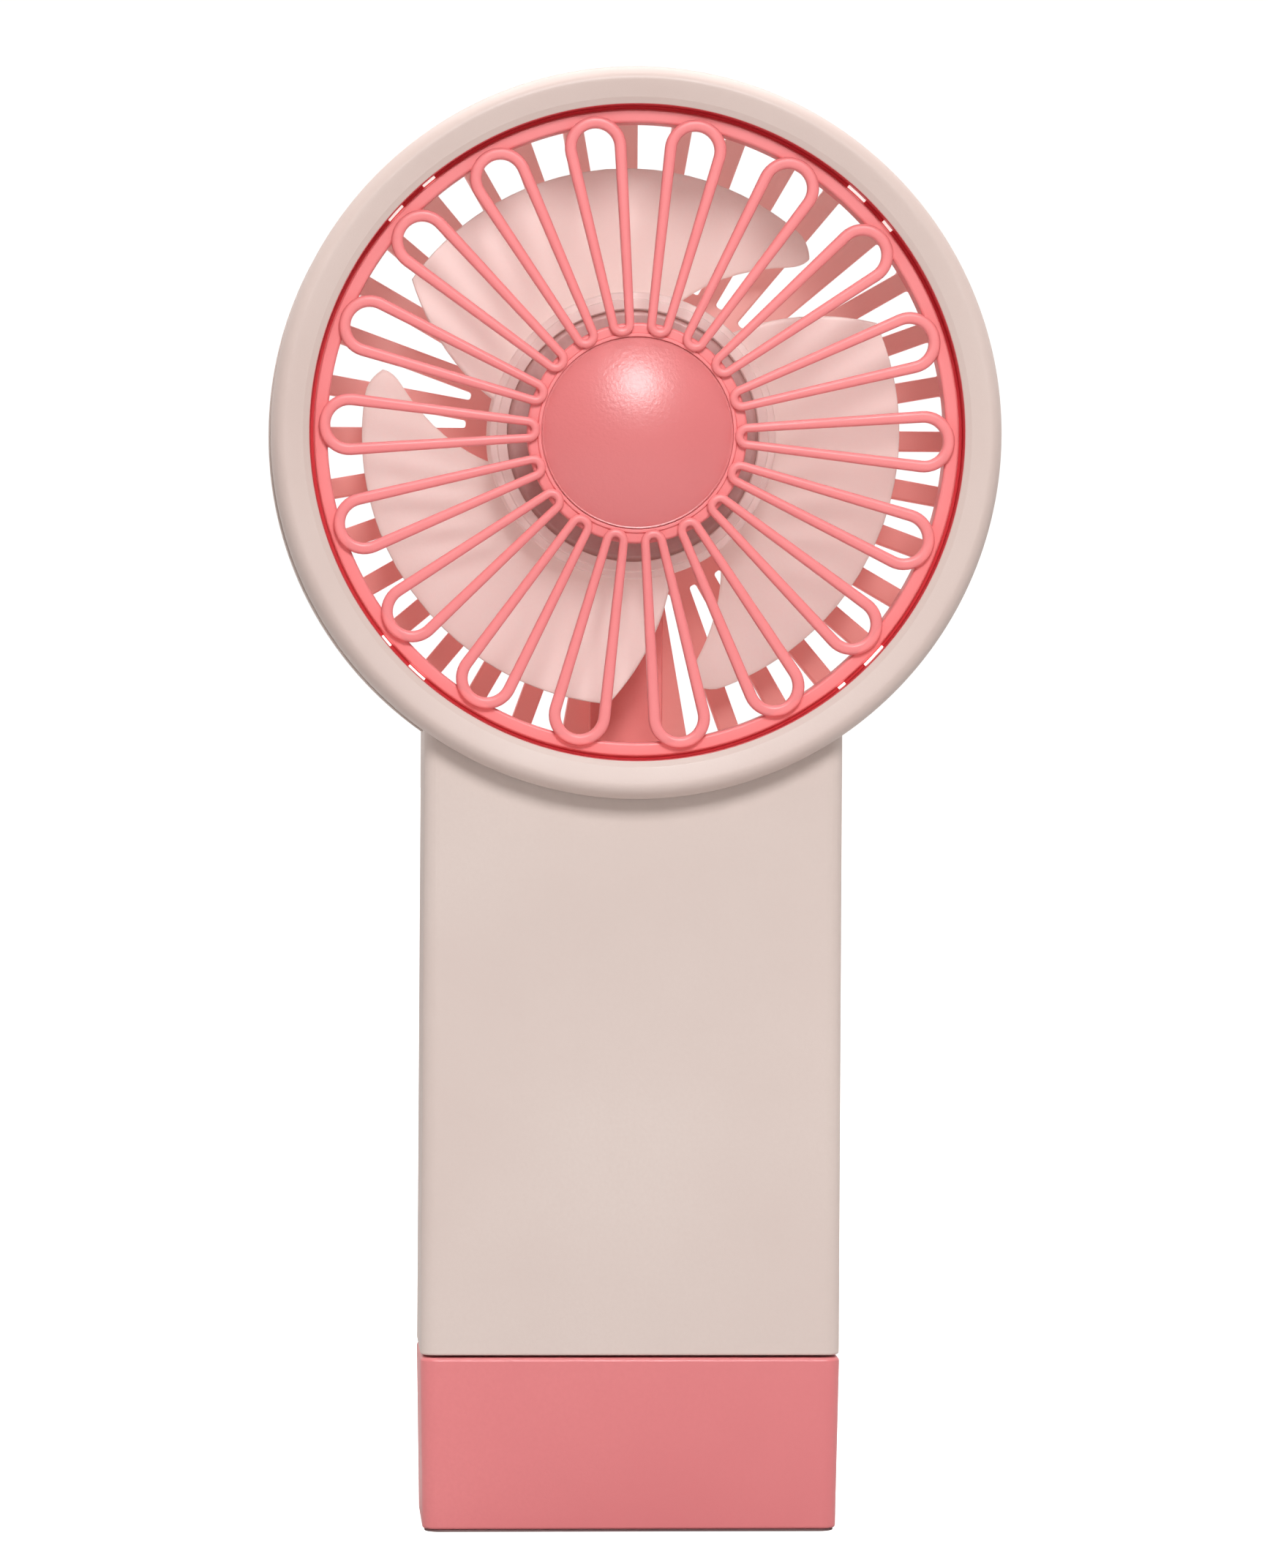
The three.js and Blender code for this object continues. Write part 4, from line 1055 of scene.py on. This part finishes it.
CAD_SLOTS = {
    "steel": ("motor_screw", "board_screw", "plate_screw", "bearing_front", "bearing_rear", "stator_core",
              "motor_shaft", "shaft_clip", "pivot_bracket", "pivot_screw", "pivot_nut", "detent"),
    "brass": ("bearing_tube",),
    "copper_winding": ("stator_coil",),
    "magnet": ("rotor_magnet",),
    "circuit_laminate": ("circuit_board", "motor_board"),
    "cell_foil": ("battery_pack",),
    "black_plastic": ("tact_switch", "pivot_post"),
    "coral_shell": ("switch_plunger",),
    "clear_lens": ("indicator_led",),
    "white_plastic": ("pivot_washer",),
    "wire_red": ("motor_wire_red", "battery_wire_red"),
    "wire_black": ("motor_wire_black", "battery_wire_black"),
}


def paint_cad_nodes():
    """Gives the CAD nodes that stay their materials."""
    for slot_name, stems in CAD_SLOTS.items():
        for node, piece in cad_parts.items():
            if node.startswith(stems):
                piece.data.materials.clear()
                piece.data.materials.append(MATERIALS[slot_name])


# ---------------------------------------------------------------- studio

FRONT_AMBIENT, BACK_AMBIENT = 0.31, 1.0
BACKDROP_SEEN = 1.05
FLOOR_GLOW = 0.95
AMBIENT_TONE = (1.0, 0.94, 0.91, 1)
BACKDROP_TONE = (1.0, 0.995, 0.985, 1)
KEY_POWER = 8.3
CAMERA_TARGET = Vector((-0.15, -15.5, 98.3))
CAMERA_DISTANCE = 833
CAMERA_LENS = 146.9
CAMERA_YAW, CAMERA_PITCH, CAMERA_ROLL = 3.3, 1.35, 0.34


def build_camera():
    yaw, pitch, roll = (math.radians(a) for a in (CAMERA_YAW, CAMERA_PITCH, CAMERA_ROLL))
    forward = Vector((math.sin(yaw) * math.cos(pitch), math.cos(yaw) * math.cos(pitch), -math.sin(pitch)))
    right = Vector((math.cos(yaw), -math.sin(yaw), 0))
    up = right.cross(forward)
    right, up = (
        right * math.cos(roll) + up * math.sin(roll),
        up * math.cos(roll) - right * math.sin(roll),
    )
    lens = bpy.data.cameras.new("Camera")
    lens.sensor_width = 36
    lens.lens = CAMERA_LENS
    camera = bpy.data.objects.new("Camera", lens)
    turn = Matrix((right, up, -forward)).transposed().to_4x4()
    camera.matrix_world = Matrix.Translation((CAMERA_TARGET - forward * CAMERA_DISTANCE) * MM) @ turn
    bpy.context.scene.collection.objects.link(camera)
    bpy.context.scene.camera = camera


def softbox(name, elevation, azimuth, distance, width, height, power):
    """An area light that faces the fan's head. Azimuth 0 is in front and 90 on the right."""
    e, a = math.radians(elevation), math.radians(azimuth)
    way = Vector((math.sin(a) * math.cos(e), -math.cos(a) * math.cos(e), math.sin(e)))
    light = bpy.data.lights.new(name, "AREA")
    light.shape = "RECTANGLE"
    light.size, light.size_y = width, height
    light.energy = power
    lamp = bpy.data.objects.new(name, light)
    lamp.location = Vector((0, 0, HEAD_Z * MM)) + way * distance
    lamp.rotation_mode = "QUATERNION"
    lamp.rotation_quaternion = (-way).to_track_quat("-Z", "Y")
    bpy.context.scene.collection.objects.link(lamp)


def build_world():
    """A pale surround, brighter behind the fan, as a lit backdrop is."""
    world = bpy.data.worlds.new("Studio")
    bpy.context.scene.world = world
    world.use_nodes = True
    tree = world.node_tree
    background = tree.nodes["Background"]
    place_node = tree.nodes.new("ShaderNodeTexCoord")
    split = tree.nodes.new("ShaderNodeSeparateXYZ")
    tree.links.new(place_node.outputs["Generated"], split.inputs["Vector"])
    behind = tree.nodes.new("ShaderNodeMapRange")
    behind.interpolation_type = "SMOOTHSTEP"
    behind.inputs["From Min"].default_value = -0.3
    behind.inputs["From Max"].default_value = 0.6
    behind.inputs["To Min"].default_value = FRONT_AMBIENT
    behind.inputs["To Max"].default_value = BACK_AMBIENT
    tree.links.new(split.outputs["Y"], behind.inputs["Value"])
    seen = tree.nodes.new("ShaderNodeLightPath")
    strength = tree.nodes.new("ShaderNodeMix")
    tree.links.new(seen.outputs["Is Camera Ray"], strength.inputs[0])
    tree.links.new(behind.outputs["Result"], strength.inputs[2])
    strength.inputs[3].default_value = BACKDROP_SEEN
    tree.links.new(strength.outputs[0], background.inputs["Strength"])
    tone = tree.nodes.new("ShaderNodeMix")
    tone.data_type = "RGBA"
    tree.links.new(seen.outputs["Is Camera Ray"], tone.inputs[0])
    tone.inputs[6].default_value = AMBIENT_TONE
    tone.inputs[7].default_value = BACKDROP_TONE
    tree.links.new(tone.outputs[2], background.inputs["Color"])


def build_floor():
    """A plain pale floor that the camera sees brighter than it is, so that it stays near white."""
    size = 4
    mesh = bpy.data.meshes.new("Floor")
    square = [(-size, -size, 0), (size, -size, 0), (size, size, 0), (-size, size, 0)]
    mesh.from_pydata(square, [], [(0, 1, 2, 3)])
    floor = bpy.data.objects.new("Floor", mesh)
    bpy.context.scene.collection.objects.link(floor)
    recipe = Recipe("Floor", Roughness=0.8)
    shade = recipe.ranged(recipe.noise(6, 2), 0, 1)
    recipe.paint(recipe.mixed(shade, (0.5, 0.497, 0.492, 1), (0.48, 0.477, 0.472, 1)))
    seen = recipe.tree.nodes.new("ShaderNodeLightPath")
    recipe.glow(BACKDROP_TONE, recipe.ranged(seen.outputs["Is Camera Ray"], 0, FLOOR_GLOW, 0, 1))
    recipe.normal(recipe.bump(recipe.noise(300, 2), 2e-5))
    mesh.materials.append(recipe.material)


def build_studio():
    bpy.context.scene.view_settings.view_transform = "Standard"
    build_camera()
    build_world()
    build_floor()
    softbox("Key softbox", 28.5, 3, 1.1, 0.32, 0.3, KEY_POWER)
    softbox("Overhead softbox", 88, 0, 0.9, 0.8, 0.4, 5)
    softbox("Rim softbox", 50, 178, 1.0, 0.9, 0.3, 2.6)
    softbox("Left softbox", 12, -70, 1.2, 0.5, 0.9, 1.2)
    softbox("Right softbox", 12, 70, 1.2, 0.5, 0.9, 0.8)


build_fan()
paint_cad_nodes()
build_studio()


def corners(box):
    return [list(corner) for corner in box]
